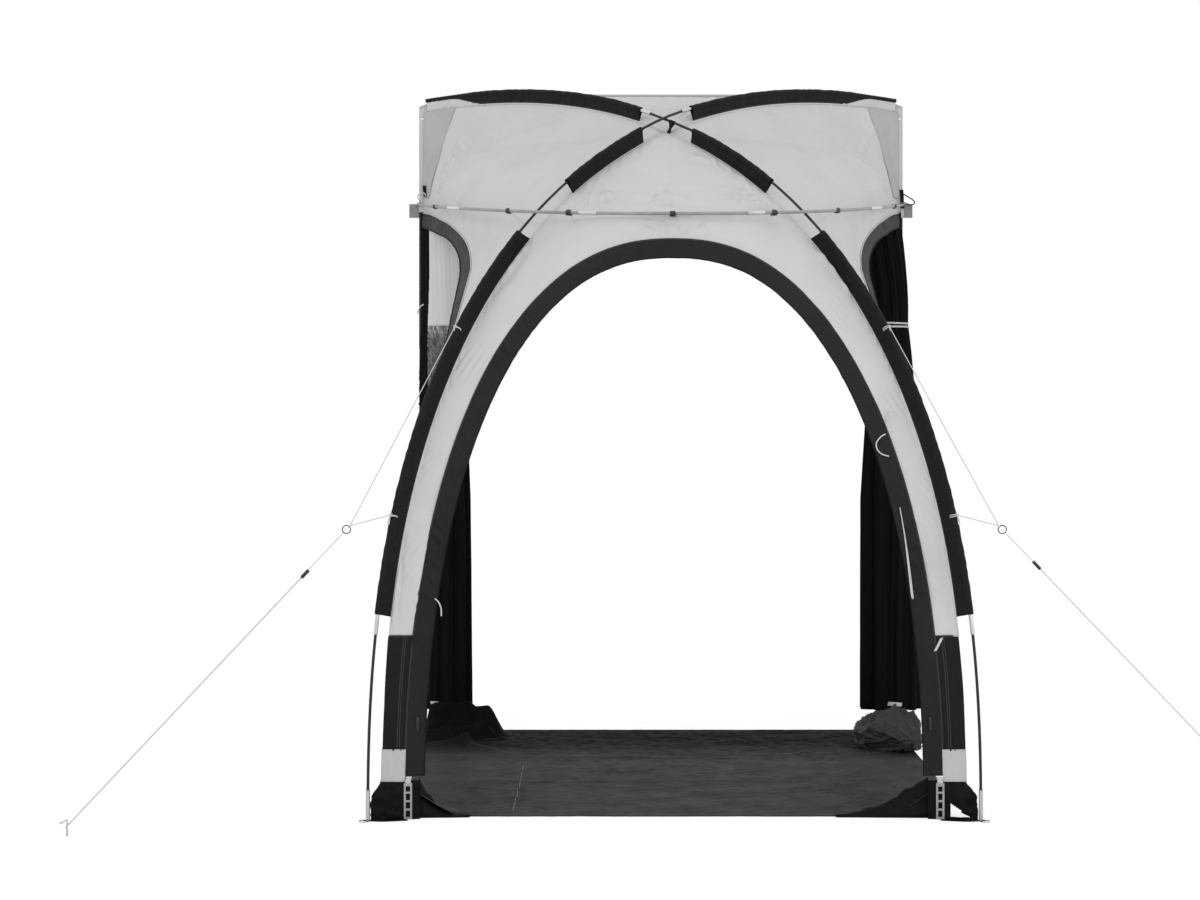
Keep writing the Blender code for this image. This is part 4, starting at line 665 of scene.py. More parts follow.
# canopy: one front, two sides and a roof, drawn tight between the pole sleeves
canopy = {
    "thickness": 0.0011, "frontColumns": 420, "frontRows": 72, "sideColumns": 260, "sideRows": 64,
    "railLift": 0.050, "railFull": 8, "seamRadius": 0.0030, "gussetFoot": 2.175,
    "gussetWidth": (0.042, 0.128), "edgeGap": 0.0003, "roofSag": 0.0060,
    "crease": 2.1, "frontCrease": 2.5,      # how strongly the creases stand out
    # creases of the front: x0, z0, x1, z1, width, depth
    "frontFolds": (
        (-0.50, 2.020, 0.02, 1.955, 0.016, 0.0042), (-0.30, 2.045, 0.36, 1.985, 0.013, 0.0036),
        (0.06, 1.965, 0.52, 2.015, 0.016, 0.0044), (-0.10, 2.075, 0.26, 2.060, 0.010, 0.0024),
        (0.12, 2.290, 0.33, 2.270, 0.010, 0.0040), (0.10, 2.245, 0.36, 2.215, 0.011, 0.0042),
        (0.09, 2.200, 0.30, 2.180, 0.010, 0.0030), (-0.28, 2.260, -0.08, 2.285, 0.010, 0.0026),
        (-0.62, 1.700, -0.50, 1.860, 0.014, 0.0034), (0.62, 1.690, 0.50, 1.850, 0.014, 0.0034),
        (-0.85, 1.120, -0.80, 1.420, 0.012, 0.0030), (0.86, 1.100, 0.80, 1.400, 0.012, 0.0030),
        (-0.90, 0.640, -0.885, 0.900, 0.008, 0.0022), (0.905, 0.640, 0.89, 0.900, 0.008, 0.0022),
    ),
    # fans of the front: centre, heading, spread, count, reach, depth, seed
    "frontFans": (
        ((0.0, 2.405), -90, 100, 9, 0.16, 0.0046, 3), ((-0.26, 2.100), -80, 90, 6, 0.15, 0.0030, 5),
        ((0.26, 2.100), -100, 90, 6, 0.15, 0.0030, 6), ((0.0, 2.062), -90, 120, 5, 0.11, 0.0024, 7),
        ((0.0, 1.872), 90, 150, 9, 0.12, 0.0026, 8), ((-0.66, 2.000), -75, 90, 9, 0.20, 0.0034, 9),
        ((0.66, 2.000), -105, 90, 9, 0.20, 0.0034, 10), ((0.10, 2.330), -40, 60, 7, 0.22, 0.0034, 14),
    ),
    # the same of the sides, with depth from the wall for x
    "sideFolds": (
        (0.02, 2.10, 0.10, 2.42, 0.010, 0.0055), (0.05, 2.12, 0.20, 2.38, 0.012, 0.0045),
        (0.01, 2.20, 0.05, 2.50, 0.008, 0.0050), (0.10, 2.13, 0.40, 2.30, 0.014, 0.0040),
        (0.45, 2.02, 0.62, 2.20, 0.014, 0.0034), (0.80, 1.62, 0.98, 1.78, 0.012, 0.0030),
        (1.05, 1.35, 1.28, 1.52, 0.012, 0.0026), (0.25, 2.30, 0.55, 2.44, 0.012, 0.0034),
    ),
    "sideFans": (((0.02, 2.52), -62, 50, 9, 0.42, 0.0050, 21), ((0.03, 2.13), 70, 70, 7, 0.26, 0.0012, 22)),
}


def frontEdges(columns):
    # door edge and seam of the front as matching rows of x and height
    first, last = (shareAtHeight(doorEdge, leg["band"], half) for half in (True, False))
    inner = along(beside(doorEdge, -canopy["edgeGap"]), evenShares(doorEdge, first, last, columns))
    heights = np.linspace(leg["band"], crossHeight - 0.002, 400)
    half = even(np.stack([-seamEdge(heights)[0], heights], axis=1), columns // 2 + 1)
    return inner, np.vstack([half, half[-2::-1] * [-1, 1]])


def between(inner, outer, rows, setback=0.0):
    # flat places from one line to another, row by row
    way = outer - inner
    end = outer - way / np.linalg.norm(way, axis=1)[:, None] * setback
    return inner[None] + (end - inner)[None] * np.linspace(0, 1, rows)[:, None, None]


def window(rows, cols, edgeV, edgeU=0.0):
    # eases a displacement away at the hems
    v = np.linspace(0, 1, rows)[:, None]
    ease = eased(np.minimum(v, 1 - v) / edgeV)
    if edgeU:
        u = np.linspace(0, 1, cols)[None]
        ease = ease * eased(np.minimum(u, 1 - u) / edgeU)
    return ease * np.ones((rows, cols))


def buildFront():
    columns = canopy["frontColumns"] + 1
    flat = between(*frontEdges(columns), canopy["frontRows"], front["setback"])
    x, z = flat[..., 0], flat[..., 1]
    shape = creased(x, z, canopy["frontFolds"], canopy["frontFans"])
    shape = shape + 0.0020 * drift(x, z, 0.55, 11) + 0.0007 * drift(x, z, 0.16, 12, 1.6)
    # the seam gathers in short pleats
    v = np.linspace(0, 1, len(flat))[:, None]
    u = np.linspace(0, 1, columns)[None]
    pucker = np.sin(u * 2 * math.pi * 74 + 3 * np.sin(u * 40)) * np.exp(-((1 - v) / 0.09) ** 2)
    shape = shape + 0.0011 * pucker
    # fine slanting wrinkles down the legs
    slant = 1.2 * np.abs(x) + z + 0.02 * np.sin(11 * z)
    patchy = np.clip(drift(x, z, 0.30, 15), 0, 1) * np.clip((1.75 - z) / 0.2, 0, 1)
    shape = shape + 0.0009 * np.sin(slant * 2 * math.pi / 0.034) * patchy
    shape = canopy["frontCrease"] * shape * window(len(flat), columns, 0.05)
    spots = pushed(frontSpots(x, z), shape, (0, -1, 0))
    return addCloth("front_canopy", spots, "paleCloth", "grey_cloth", canopy["thickness"], "front_panel")


def buildSide(side):
    columns = canopy["sideColumns"] + 1
    edge = beside(sideEdge, -canopy["edgeGap"])
    shares = evenShares(sideEdge, 0.0, shareAtHeight(sideEdge, leg["band"], False), columns)
    opening = along(edge, shares)
    opening[0, 0] = clothRear
    runs = np.linspace(diagonal * (1 - clothRear / arch["reach"]), seamRun(leg["band"]), 400)
    edgeLine = np.stack([arch["reach"] * (1 - runs / diagonal), seamHeight(runs)], 1)
    flat = between(opening, even(edgeLine, columns), canopy["sideRows"], front["setback"])
    flat[:, 0, 0] = clothRear
    depth, z = flat[..., 0], flat[..., 1]
    shape = creased(depth, z, canopy["sideFolds"], canopy["sideFans"])
    shape = shape + 0.0022 * drift(depth, z, 0.5, 23) + 0.0008 * drift(depth, z, 0.15, 24)
    shape = canopy["crease"] * shape * window(len(flat), columns, 0.06, 0.012)
    # flat below the gusset and below the lap of the trim
    under = np.clip((0.20 - depth) / 0.06, 0, 1) * np.clip((z - 2.12) / 0.06, 0, 1)
    reach = np.linalg.norm(flat - flat[:1], axis=2)
    shape = shape * (1 - 0.9 * under) * np.clip((reach - 0.055) / 0.050, 0, 1)
    # fine wrinkles that run out of the corner beside the gusset
    slant = depth * 1.9 - z * 0.5 + 0.05 * np.sin(9 * z)
    near = np.exp(-((depth - 0.26) / 0.09) ** 2) * np.clip((z - 2.16) / 0.10, 0, 1)
    shape = shape + 0.0034 * np.sin(slant * 130 + 2 * np.sin(z * 17)) * near
    spots = pushed(sideSpots(depth, z, side), shape, (side, 0, 0))
    name = sides[side]
    return addCloth(f"{name}_side_canopy", spots, "paleCloth", "grey_cloth", canopy["thickness"],
                    f"{name}_side_panel")


def railLift(x):
    # how far the cloth is drawn up to the rail between its corners
    return canopy["railLift"] * (1 - np.minimum(1.0, np.abs(x) / railHalf) ** canopy["railFull"])


def buildRoof():
    u = np.linspace(-1, 1, 241)[None]
    v = np.linspace(0, 1, 120)[:, None]
    spots = roofSpots(u * np.ones_like(v), v * np.ones_like(u))
    ease = (1 - u ** 2) * np.clip(np.minimum(v, 1 - v) / 0.08, 0, 1)
    x, y = spots[..., 0], spots[..., 1]
    shape = 0.0030 * drift(x, y, 0.5, 31) + fan(x, y, (0.0, 0.02), 90, 80, 8, 0.3, 0.004, 32)
    # short gathers at the rail
    gather = 0.0034 * drift(x, 0 * y, 0.085, 33) + 0.0016 * drift(x, 0 * y, 0.032, 34)
    shape = shape + gather * np.exp(-((1 - v) / 0.22) ** 2) * 2.2
    sag = canopy["roofSag"] * (1 - u ** 2) * np.sin(math.pi * v)
    spots[..., 2] += shape * ease + railLift(x) * v ** 1.5 - sag
    return addCloth("roof_canopy", spots, "paleCloth", "grey_cloth", canopy["thickness"], "roof_panel")


def meshArea(item):
    return sum(face.area for face in item.data.polygons)


def declare(item):
    # says what cloth a piece is cut from: the smallest cut that holds it, and the area it has
    area = meshArea(item)
    layer = item.data.uv_layers["cut"]
    flat = np.empty(2 * len(layer.data), np.float32)
    layer.data.foreach_get("uv", flat)
    width, length = (float(part) for part in flat.reshape(-1, 2).max(axis=0))
    if width * length < area:
        length = area / width * 1.01
    print(f"{item.name}: {width:.3f} x {length:.3f} m, {area:.3f} m2")


def buildGusset(side):
    # a panel at the rear corner in a darker copy of the pale cloth, as painted shade where the cloth turns
    # away from the light, drawn into fine slanting wrinkles
    u = np.linspace(0, 1, 70)[None]
    v = np.linspace(0, 1, 130)[:, None]
    low, (narrow, wide) = canopy["gussetFoot"], canopy["gussetWidth"]
    depth = clothRear + (narrow + (wide - narrow) * v ** 0.8 + 0.004 * np.sin(7 * v + 1)) * u
    z = low + (seamHeight(diagonal * (1 - depth / arch["reach"])) - 0.004 - low) * v
    slant = depth * 2.2 - z * 0.35
    shape = 0.0020 * np.abs(np.sin(slant * 46 + 1.5 * np.sin(z * 9)))
    shape = shape + 0.0009 * np.sin(slant * 170 + 2 * np.sin(z * 15))
    shape = 0.0050 + shape * np.clip(u * 6, 0, 1) * np.clip((1 - u) * 4, 0, 1) * np.clip(v * 6, 0, 1)
    shape = shape - 0.0034 * np.clip((u - 0.94) / 0.06, 0, 1)
    # the darker cloth laid over the corner is painted shade
    item = addCloth(f"{sides[side]}_corner_shade_gusset", pushed(sideSpots(depth, z, side), shape, (side, 0, 0)),
                    "duskCloth", "grey_cloth", 0.0010, hemWidth=0.006)
    declare(item)


def buildSeams():
    # corded seams under the poles, from the leg bands over the crossing to the rail
    for foot, name in sides.items():
        runs = np.linspace(seamRun(leg["band"]), diagonal * (1 - 1.6 * clothRear / arch["reach"]), 220)
        path = [spot(run, seamHeight(run), foot) for run in runs]
        roundBar(f"{name}_canopy_seam", path, canopy["seamRadius"], "paleCloth")


frontCanopy = buildFront()
sideCanopies = {side: buildSide(side) for side in sides}
roofCanopy = buildRoof()
buildSeams()
for side in sides:
    buildGusset(side)
print("canopy made")

# pole sleeves, each a strip folded round the pole and sewn to the canopy
sleeve = {
    "wall": 0.0009, "tunnel": 0.0101, "spans": {
        "lower": (lengthAtHeight(0.657), lengthAtRun(0.236)), "mid": (lengthAtRun(0.318), lengthAtRun(0.452)),
        "upper": (lengthAtRun(0.547), float(np.interp(diagonal - 0.021, poleLine[0], poleLine[2]))),
    },
    "skew": {"lower": (0.004, 0.020), "mid": (0.002, -0.010), "upper": (0.004, 0.0)},
    "step": 0.007, "taper": 0.34, "narrowing": 0.58, "tip": 0.0085, "tipRadius": 0.0066,
}


def tipShare(left):
    # 0 where the upper sleeve is full, 1 along its narrow end
    return float(eased((1 - left / sleeve["taper"]) / sleeve["narrowing"]))


def sleeveDepth(kind, base, end):
    # how far a sleeve reaches from the pole towards the seam
    near = tipShare(end - base) if kind == "upper" else 0.0
    return finDepth(base) + (sleeve["tip"] - finDepth(base)) * near, near


def buildFin(name, end, foot, across):
    # pale cloth between a narrowing sleeve and the seam
    rows = []
    for base in np.linspace(end - sleeve["taper"] * 0.97, end - 0.002, 70):
        top = sleeveDepth("upper", base, end)[0] - 0.004
        middle, inwards = poleFrame(base, foot)
        ripple = 0.0016 * math.sin(base * 95 + 2 * math.sin(base * 37)) + 0.0008 * math.sin(base * 260)
        rows.append([
            middle + inwards * (top + (finDepth(base) + 0.0015 - top) * t)
            + across * ripple * math.sin(math.pi * t)
            for t in np.linspace(0, 1, 8)
        ])
    addCloth(f"{name}_fin", np.array(rows), "paleCloth", "grey_cloth", 0.0010, hemWidth=0.003)


def buildSleeve(kind, foot):
    start, end = sleeve["spans"][kind]
    skewStart, skewEnd = sleeve["skew"][kind]
    count = int((end - start) / sleeve["step"]) + 1
    seed = 40 + 3 * foot + len(kind)
    across = Vector((arch["reach"], foot * 2 * arch["halfWidth"], 0)).normalized()
    turns = np.radians(np.linspace(-58, 238, 25))
    fin = np.linspace(0, 1, 9)[1:]
    rows = []
    for number in range(count):
        base = start + (end - start) * (number / (count - 1))
        pull = -skewStart * max(0.0, 1 - (base - start) / 0.06)
        pull += skewEnd * max(0.0, 1 - (end - base) / 0.06)
        radius = sleeve["tunnel"] * (
            1 + 0.05 * math.sin(base * 130 + 2 * math.sin(base * 31)) + 0.04 * math.sin(base * 57 + seed))
        deep, near = sleeveDepth(kind, base, end)
        radius += (sleeve["tipRadius"] - radius) * near + 0.0007 * near * math.sin(base * 310)
        section = [(radius * math.cos(t), -radius * math.sin(t)) for t in turns]
        (x0, y0), (x1, y1) = section[0], section[-1]
        left = [(x0 + (0.0010 - x0) * f, y0 + (deep - y0) * f) for f in fin[::-1]]
        right = [(x1 + (-0.0010 - x1) * f, y1 + (deep - y1) * f) for f in fin]
        wave = 0.0012 * math.sin(base * 61 + seed + 2 * math.sin(base * 17))
        wave += 0.0007 * math.sin(base * 190 + seed)
        row = []
        for x, y in left + section + right:
            share = min(1.0, max(0.0, y / max(deep, 1e-6)))
            middle, inwards = poleFrame(base + pull * share, foot)
            ripple = wave * math.sin(math.pi * share) if y > 0 else 0.0
            row.append(middle + across * (x + ripple) + inwards * y)
        rows.append(row)
    name = f"{sides[foot]}_{kind}_sleeve"
    item = addCloth(f"{name}_cloth", np.array(rows), "sleeveCloth", "dark_cloth", sleeve["wall"], name,
                    hemWidth=0.012)
    if kind == "upper":
        buildFin(name, end, foot, across)
    path = []
    for base in np.arange(start + 0.004, end - 0.006, 0.012):
        middle, inwards = poleFrame(base, foot)
        path.append(middle + inwards * (sleeveDepth(kind, base, end)[0] - 0.0045) - across * 0.0018 * foot)
    stitches(f"{name}_stitches", path, [-across * foot] * len(path), 0.0006, "darkThread")
    return item


sleeves = {(kind, foot): buildSleeve(kind, foot) for kind in sleeve["spans"] for foot in sides}
for (kind, foot), item in sleeves.items():
    declare(item)
declare(frontCanopy)
for side, item in sideCanopies.items():
    declare(item)
declare(roofCanopy)
print("sleeves made")

# trims of the door and of the side openings
trims = {
    "thickness": 0.0012, "overlap": 0.005, "lift": 0.0018, "rows": 24, "roll": 0.0022, "doorWidth": 0.061,
    "sideLap": 0.045, "wrinkle": 0.0024, "sliderRun": (0.125, 0.175, 0.440, 0.500), "sliderRise": 0.0002,
    "bow": 0.0026,
}


def trimSpots(line, shares, width, place, footEnds, foot, seed, lap=0.0):
    # cloth band inside an edge: lapped over the canopy, slightly bowed, rolled at its inner edge
    outer = along(beside(line, -(trims["overlap"] + np.broadcast_to(lap, len(line))[:, None])), shares)
    inner = along(beside(line, width), shares)
    outer[footEnds, 1] = np.minimum(outer[footEnds, 1], foot)
    inner[footEnds, 1] = foot
    flat = between(outer, inner, trims["rows"])
    spots = place(flat[..., 0], flat[..., 1])
    w = np.linspace(0, 1, len(spots))[:, None]
    s = travelled(spots[len(spots) // 2])[None] * np.ones_like(w)
    across = w * width
    loose = 0.0019 * drift(s, across * 0.7, 0.060, seed) + 0.0022 * drift(s, across, 0.24, seed + 1)
    loose = loose + 0.0013 * drift(s, across * 2.2, 0.028, seed + 2)
    patchy = (0.5 + 0.5 * np.sin(s * 9.3 + seed)) ** 2
    loose = loose + trims["wrinkle"] * np.sin((s + 0.9 * across) * 120 + 3 * np.sin(s * 17)) * patchy
    shape = trims["lift"] + trims["bow"] * np.sin(math.pi * w) ** 0.8
    shape = shape + loose * np.clip(w * 4, 0, 1) * np.clip((1 - w) * 3, 0.35, 1)
    return spots, shape + trims["roll"] * np.exp(-((1 - w) / 0.07) ** 2)


def buildDoorTrim():
    first, last = (shareAtHeight(doorEdge, door["trimFoot"], half) for half in (True, False))
    shares = evenShares(doorEdge, first, last, 761)
    spots, shape = trimSpots(doorEdge, shares, trims["doorWidth"], frontSpots, [0, -1], door["trimFoot"], 51)
    # drawn flat where the zip sliders run
    z, w = spots[..., 2], np.linspace(0, 1, len(spots))[:, None]
    low, lowFull, highFull, high = trims["sliderRun"]
    flat = np.minimum((z - low) / (lowFull - low), (high - z) / (high - highFull))
    flat = eased(np.minimum(flat, np.minimum(w, 1 - w) / 0.28))
    spots = pushed(spots, shape + (trims["sliderRise"] - shape) * flat, (0, -1, 0))
    item = addCloth("door_trim_cloth", spots, "trimCloth", "dark_cloth", trims["thickness"], "door_trim",
                    hemWidth=0.010)
    roundBar("door_trim_piping", spots[-1][::2], 0.0017, "blackWebbing")
    for row, tag in ((0, "a"), (1, "b")):
        path = (spots[row] * 0.6 + spots[row + 1] * 0.4 - [0, 0.0008, 0])[::2]
        lift = [(0, -1, 0)] * len(path)
        stitches(f"door_trim_stitches_{tag}", path, lift, 0.0007, "darkThread")
    declare(item)


def buildSideTrim(side):
    last = shareAtHeight(sideEdge, sideOpening["trimFoot"], False)
    # wider over the shoulder of the opening, where it laps on to the front
    lap = trims["sideLap"] * eased((2.035 - sideEdge[:, 1]) / 0.22) * eased((sideEdge[:, 1] - 1.36) / 0.30)
    spots, shape = trimSpots(
        sideEdge, evenShares(sideEdge, 0.0, last, 361), sideOpening["trim"],
        lambda depth, height: sideSpots(depth, height, side), [-1], sideOpening["trimFoot"], 61, lap,
    )
    spots = pushed(spots, shape, (side, 0, 0))
    spots[:, 0, 1] = np.minimum(spots[:, 0, 1], railY - clothRear)
    name = sides[side]
    item = addCloth(f"{name}_side_trim_cloth", spots, "sideTrimCloth", "dark_cloth", trims["thickness"],
                    f"{name}_side_trim", hemWidth=0.008)
    pieces = []
    for row, radius, finish, tag in (
        (0, 0.0021, "paleWebbing", "piping"), (1, 0.0022, "blackWebbing", "edge"),
        (-1, 0.0026, "blackWebbing", "inner_edge"),
    ):
        path = spots[row] + [side * 0.0012, -0.0006, 0]
        path[:, 1] = np.minimum(path[:, 1], railY - clothRear - radius)
        pieces.append(f"{name}_side_trim_{tag}")
        roundBar(pieces[-1], path[::2], radius, finish)
    declare(item)


buildDoorTrim()
for side in sides:
    buildSideTrim(side)
print("trims made")

# leg panels: black band, grey patch and black flap round each front corner
legs = {
    "thickness": 0.0014, "columns": 170, "hole": (0.882, 0.948, 0.012, 0.054), "flare": 0.050,
    "cornerInset": 0.008, "frontShare": 0.42,
}


def doorEdgeX(height):
    return -along(doorEdge, [shareAtHeight(doorEdge, height, True)])[0, 0]


def sideDepth(height):
    return along(sideEdge, [shareAtHeight(sideEdge, height, False)])[0, 0]


def legRow(height, side, columns):
    # one row round a front corner, from the door's edge over the seam to the side opening's edge
    pole = spot(0.0, 0.0, side)
    edgeX, edgeY = (float(part) for part in seamEdge(height))
    seamSpot = Vector((side * edgeX, railY - edgeY, height))
    corner = Vector((pole.x - side * legs["cornerInset"], pole.y + legs["cornerInset"], height))
    corner = seamSpot.lerp(corner, float(eased((leg["flap"] - height) / legs["flare"])))
    innerX = leg["flapInner"] if height < leg["flap"] else doorEdgeX(max(height, door["trimFoot"])) + 0.0006
    inner = Vector(frontSpots(side * innerX, height))
    rear = Vector(sideSpots(sideDepth(height) + 0.0009, height, side))
    line = np.array([inner, inner.lerp(corner, 0.5), corner, corner.lerp(rear, 0.5), rear])
    ahead = even(line[:3], int(columns * legs["frontShare"]))
    row = np.vstack([ahead, even(line[2:], columns - len(ahead) + 1)[1:]])
    for _ in range(3):
        row[1:-1] = (row[:-2] + 2 * row[1:-1] + row[2:]) / 4
    row[:, 2] = height
    return row


def legRows(heights, lowest, highest, side):
    # rows at the given heights, shaped as the leg is between its lowest and highest, and their outward ways
    spots = np.array([legRow(float(h), side, legs["columns"]) for h in np.clip(heights, lowest, highest)])
    spots[:, :, 2] = heights[:, None]
    out = normals(spots)
    middle = np.array([side * 0.5, 0.0, 0.0])
    return spots, out * np.sign(np.sum(out * (spots - middle), axis=2))[..., None]


def cutHole(item):
    # the flap's corner by the pole, torn open
    x0, x1, z0, z1 = legs["hole"]
    shape = bmesh.new()
    shape.from_mesh(item.data)
    gone = []
    for face in shape.faces:
        middle = face.calc_center_median()
        share = (middle.x - x0) / (x1 - x0)
        if 0 < share < 1 and z0 < middle.z < z0 + (z1 - z0) * (1 - share) and middle.y < -0.72:
            gone.append(face)
    bmesh.ops.delete(shape, geom=gone, context="FACES")
    shape.to_mesh(item.data)
    shape.free()


def buildLeg(side):
    name = sides[side]
    u = np.linspace(0, 1, legs["columns"])[None]
    heights = np.linspace(leg["patch"] - 0.004, leg["band"] + 0.004, 90)
    v = np.linspace(0, 1, len(heights))[:, None]
    spots, out = legRows(heights, 0.0, 1.0, side)
    z = spots[..., 2]
    shape = 0.0012 + 0.0016 * drift(u * 0.6, z, 0.22, 71 + side, 0.45)
    shape = shape + 0.0014 * drift(u * 0.6, z, 0.09, 72, 0.35)
    pucker = np.sin(u * 90 + 2 * np.sin(v * 5)) * np.exp(-(v / 0.25) ** 2)
    shape = shape + 0.0012 * pucker * np.clip(u * 8, 0, 1)
    places = spots + out * shape[..., None]
    band = addCloth(f"{name}_leg_band", places, "bandCloth", "black_cloth", legs["thickness"],
                    f"{name}_leg_panel", hemWidth=0.010)
    for share, tag in ((0.125, "a"), (0.160, "b")):
        column = int(share * legs["columns"])
        row = places[:, column] + out[:, column] * 0.0009
        stitches(f"{name}_leg_stitches_{tag}", row, out[:, column], 0.0009, "darkThread")
    row = places[-2] + out[-2] * 0.0008
    stitches(f"{name}_leg_stitches_top", row, out[-2], 0.0007, "darkThread")

    heights = np.linspace(leg["flap"] - 0.004, leg["patch"], 40)
    v = np.linspace(0, 1, len(heights))[:, None]
    spots, out = legRows(heights, leg["flap"], 1.0, side)
    shape = 0.0026 + 0.0012 * drift(u * 0.6, spots[..., 2], 0.12, 75 + side) + 0.0016 * (1 - v) ** 3
    places = spots + out * shape[..., None]
    patch = addCloth(
        f"{name}_leg_patch", places, "patchCloth", "grey_cloth", legs["thickness"], hemWidth=0.008)
    for row, tag in ((-3, "top"), (3, "hem")):
        stitches(f"{name}_patch_stitches_{tag}", places[row] + out[row] * 0.0008, out[row], 0.0007)

    heights = np.linspace(leg["hem"] + 0.0006, leg["flap"], 60)
    v = np.linspace(0, 1, len(heights))[:, None]
    spots, out = legRows(heights, 0.0, leg["flap"] - 1e-5, side)
    z = spots[..., 2]
    ease = np.clip(v / 0.12, 0, 1) * np.clip((1 - v) / 0.1, 0, 1)
    loose = 0.0055 * drift(u * 0.5, z, 0.11, 77 + side, 0.6) + 0.0030 * drift(u * 0.5, z, 0.045, 79, 0.8)
    # flat where the ladder lies on it
    ladder = np.exp(-((spots[..., 0] * side - 0.850) / 0.035) ** 2) * (u < 0.45)
    shape = (0.0008 + ease * loose) * (1 - ladder)
    flap = addCloth(f"{name}_leg_flap", spots + out * shape[..., None], "flapCloth", "black_cloth", 0.0009,
                    hemWidth=0.006)
    if side > 0:
        cutHole(flap)
    declare(band)
    declare(patch)
    declare(flap)


for side in sides:
    buildLeg(side)
print("leg panels made")

# side panels gathered at the rear corners
drapeEdge = beside(sideEdge, sideOpening["trim"])
drapeTop = float(drapeEdge[0][1]) - 0.0009
drape = {
    "foot": 0.100, "width": 0.200, "depth": 0.110, "foldCount": 9, "fold": 0.24,
    "tieFold": 0.25, "swing": (0.35, 2.2), "flare": (2.2, 0.8), "tie": 1.655, "around": 260, "fine": 0.34,
    # left and right: middle at the foot, the tie and the top, and width at the tie and the top
    "middle": {-1: (0.8780, 0.893, 0.893), 1: (0.930, 0.935, 0.890)},
    "spread": {-1: (0.86, 0.88), 1: (0.70, 0.86)},
    "footSpread": {-1: 1.12, 1: 1.30}, "calm": 0.20, "wall": 0.0043, "border": 0.942,
    # zones by height, ties by height over the narrowest place, hem tabs by x, white loop as x and height
    "zones": {
        # the left panel's top is in the lighter copy of the pale cloth, painted light against the shade it
        # hangs in
        -1: (("low", 0.100, 1.36, "drapeCloth", "black_cloth"), ("film", 1.36, 1.650, "film", "grey_cloth"),
             ("top", 1.650, drapeTop, "paintedLightCurtainCloth", "grey_cloth")),
        1: (("low", 0.100, 1.36, "drapeCloth", "black_cloth"),
            ("top", 1.36, drapeTop, "drapeCloth", "black_cloth")),
    },
    "ties": {-1: (-0.320,), 1: (-0.009, 0.009)}, "tabs": {-1: 0.9025, 1: 0.9360},
    "loop": ((-0.986, 1.698), (-0.984, 1.712), (-0.976, 1.728), (-0.962, 1.738)),
}


def drapeSpots(heights, side, grow=0.0, around=None):
    # rings of places round a gathered panel, narrow at its tie
    turn = np.linspace(0, 2 * math.pi, around or drape["around"], endpoint=False)[None]
    z, tie = np.asarray(heights, float)[:, None], drape["tie"]
    rise = np.clip((z - tie) / (drapeTop - tie), 0, 1)
    fall = np.clip((tie - z) / (tie - drape["foot"]), 0, 1)
    footX, tieX, topX = drape["middle"][side]
    tieWide, topWide = drape["spread"][side]
    middle = tieX + (topX - tieX) * rise ** 2 + (footX - tieX) * np.minimum(1, 1.6 * fall)
    flare = np.minimum(1.0, drape["flare"][0] * fall) ** drape["flare"][1]
    spread = np.where(z > tie, tieWide + (topWide - tieWide) * rise,
                      tieWide + (drape["footSpread"][side] - tieWide) * flare)
    part = np.where(z > tie, rise, fall)
    deep = drape["fold"] * (1 - (1 - drape["tieFold"]) * np.exp(-((z - tie) / 0.020) ** 2))
    if side < 0:
        deep = deep * (1 - (1 - drape["calm"]) * np.clip((z - 1.30) / 0.10, 0, 1))
    swing = drape["swing"][0] * np.sin(drape["swing"][1] * part + turn * 2)
    wave = 1 - deep * (1 - np.cos(drape["foldCount"] * turn + swing)) / 2
    small = np.cos(3 * drape["foldCount"] * turn + 2.5 * np.sin(3 * part + turn) + 4 * swing)
    wave = wave * (1 - drape["fine"] * deep * (1 - small) / 2)
    x = drape["width"] / 2 * spread * wave * np.cos(turn)
    y = drape["depth"] / 2 * spread * wave * np.sin(turn)
    size = np.hypot(x, y)
    x, y = x * (1 + grow / size), y * (1 + grow / size)
    y = railY - drape["wall"] - drape["depth"] / 2 * spread - grow + y
    limit = np.interp(railY - y, drapeEdge[:, 0], drapeEdge[:, 1]) - 0.0012
    return np.stack([side * middle + x, y, np.minimum(z * np.ones_like(x), limit)], -1)


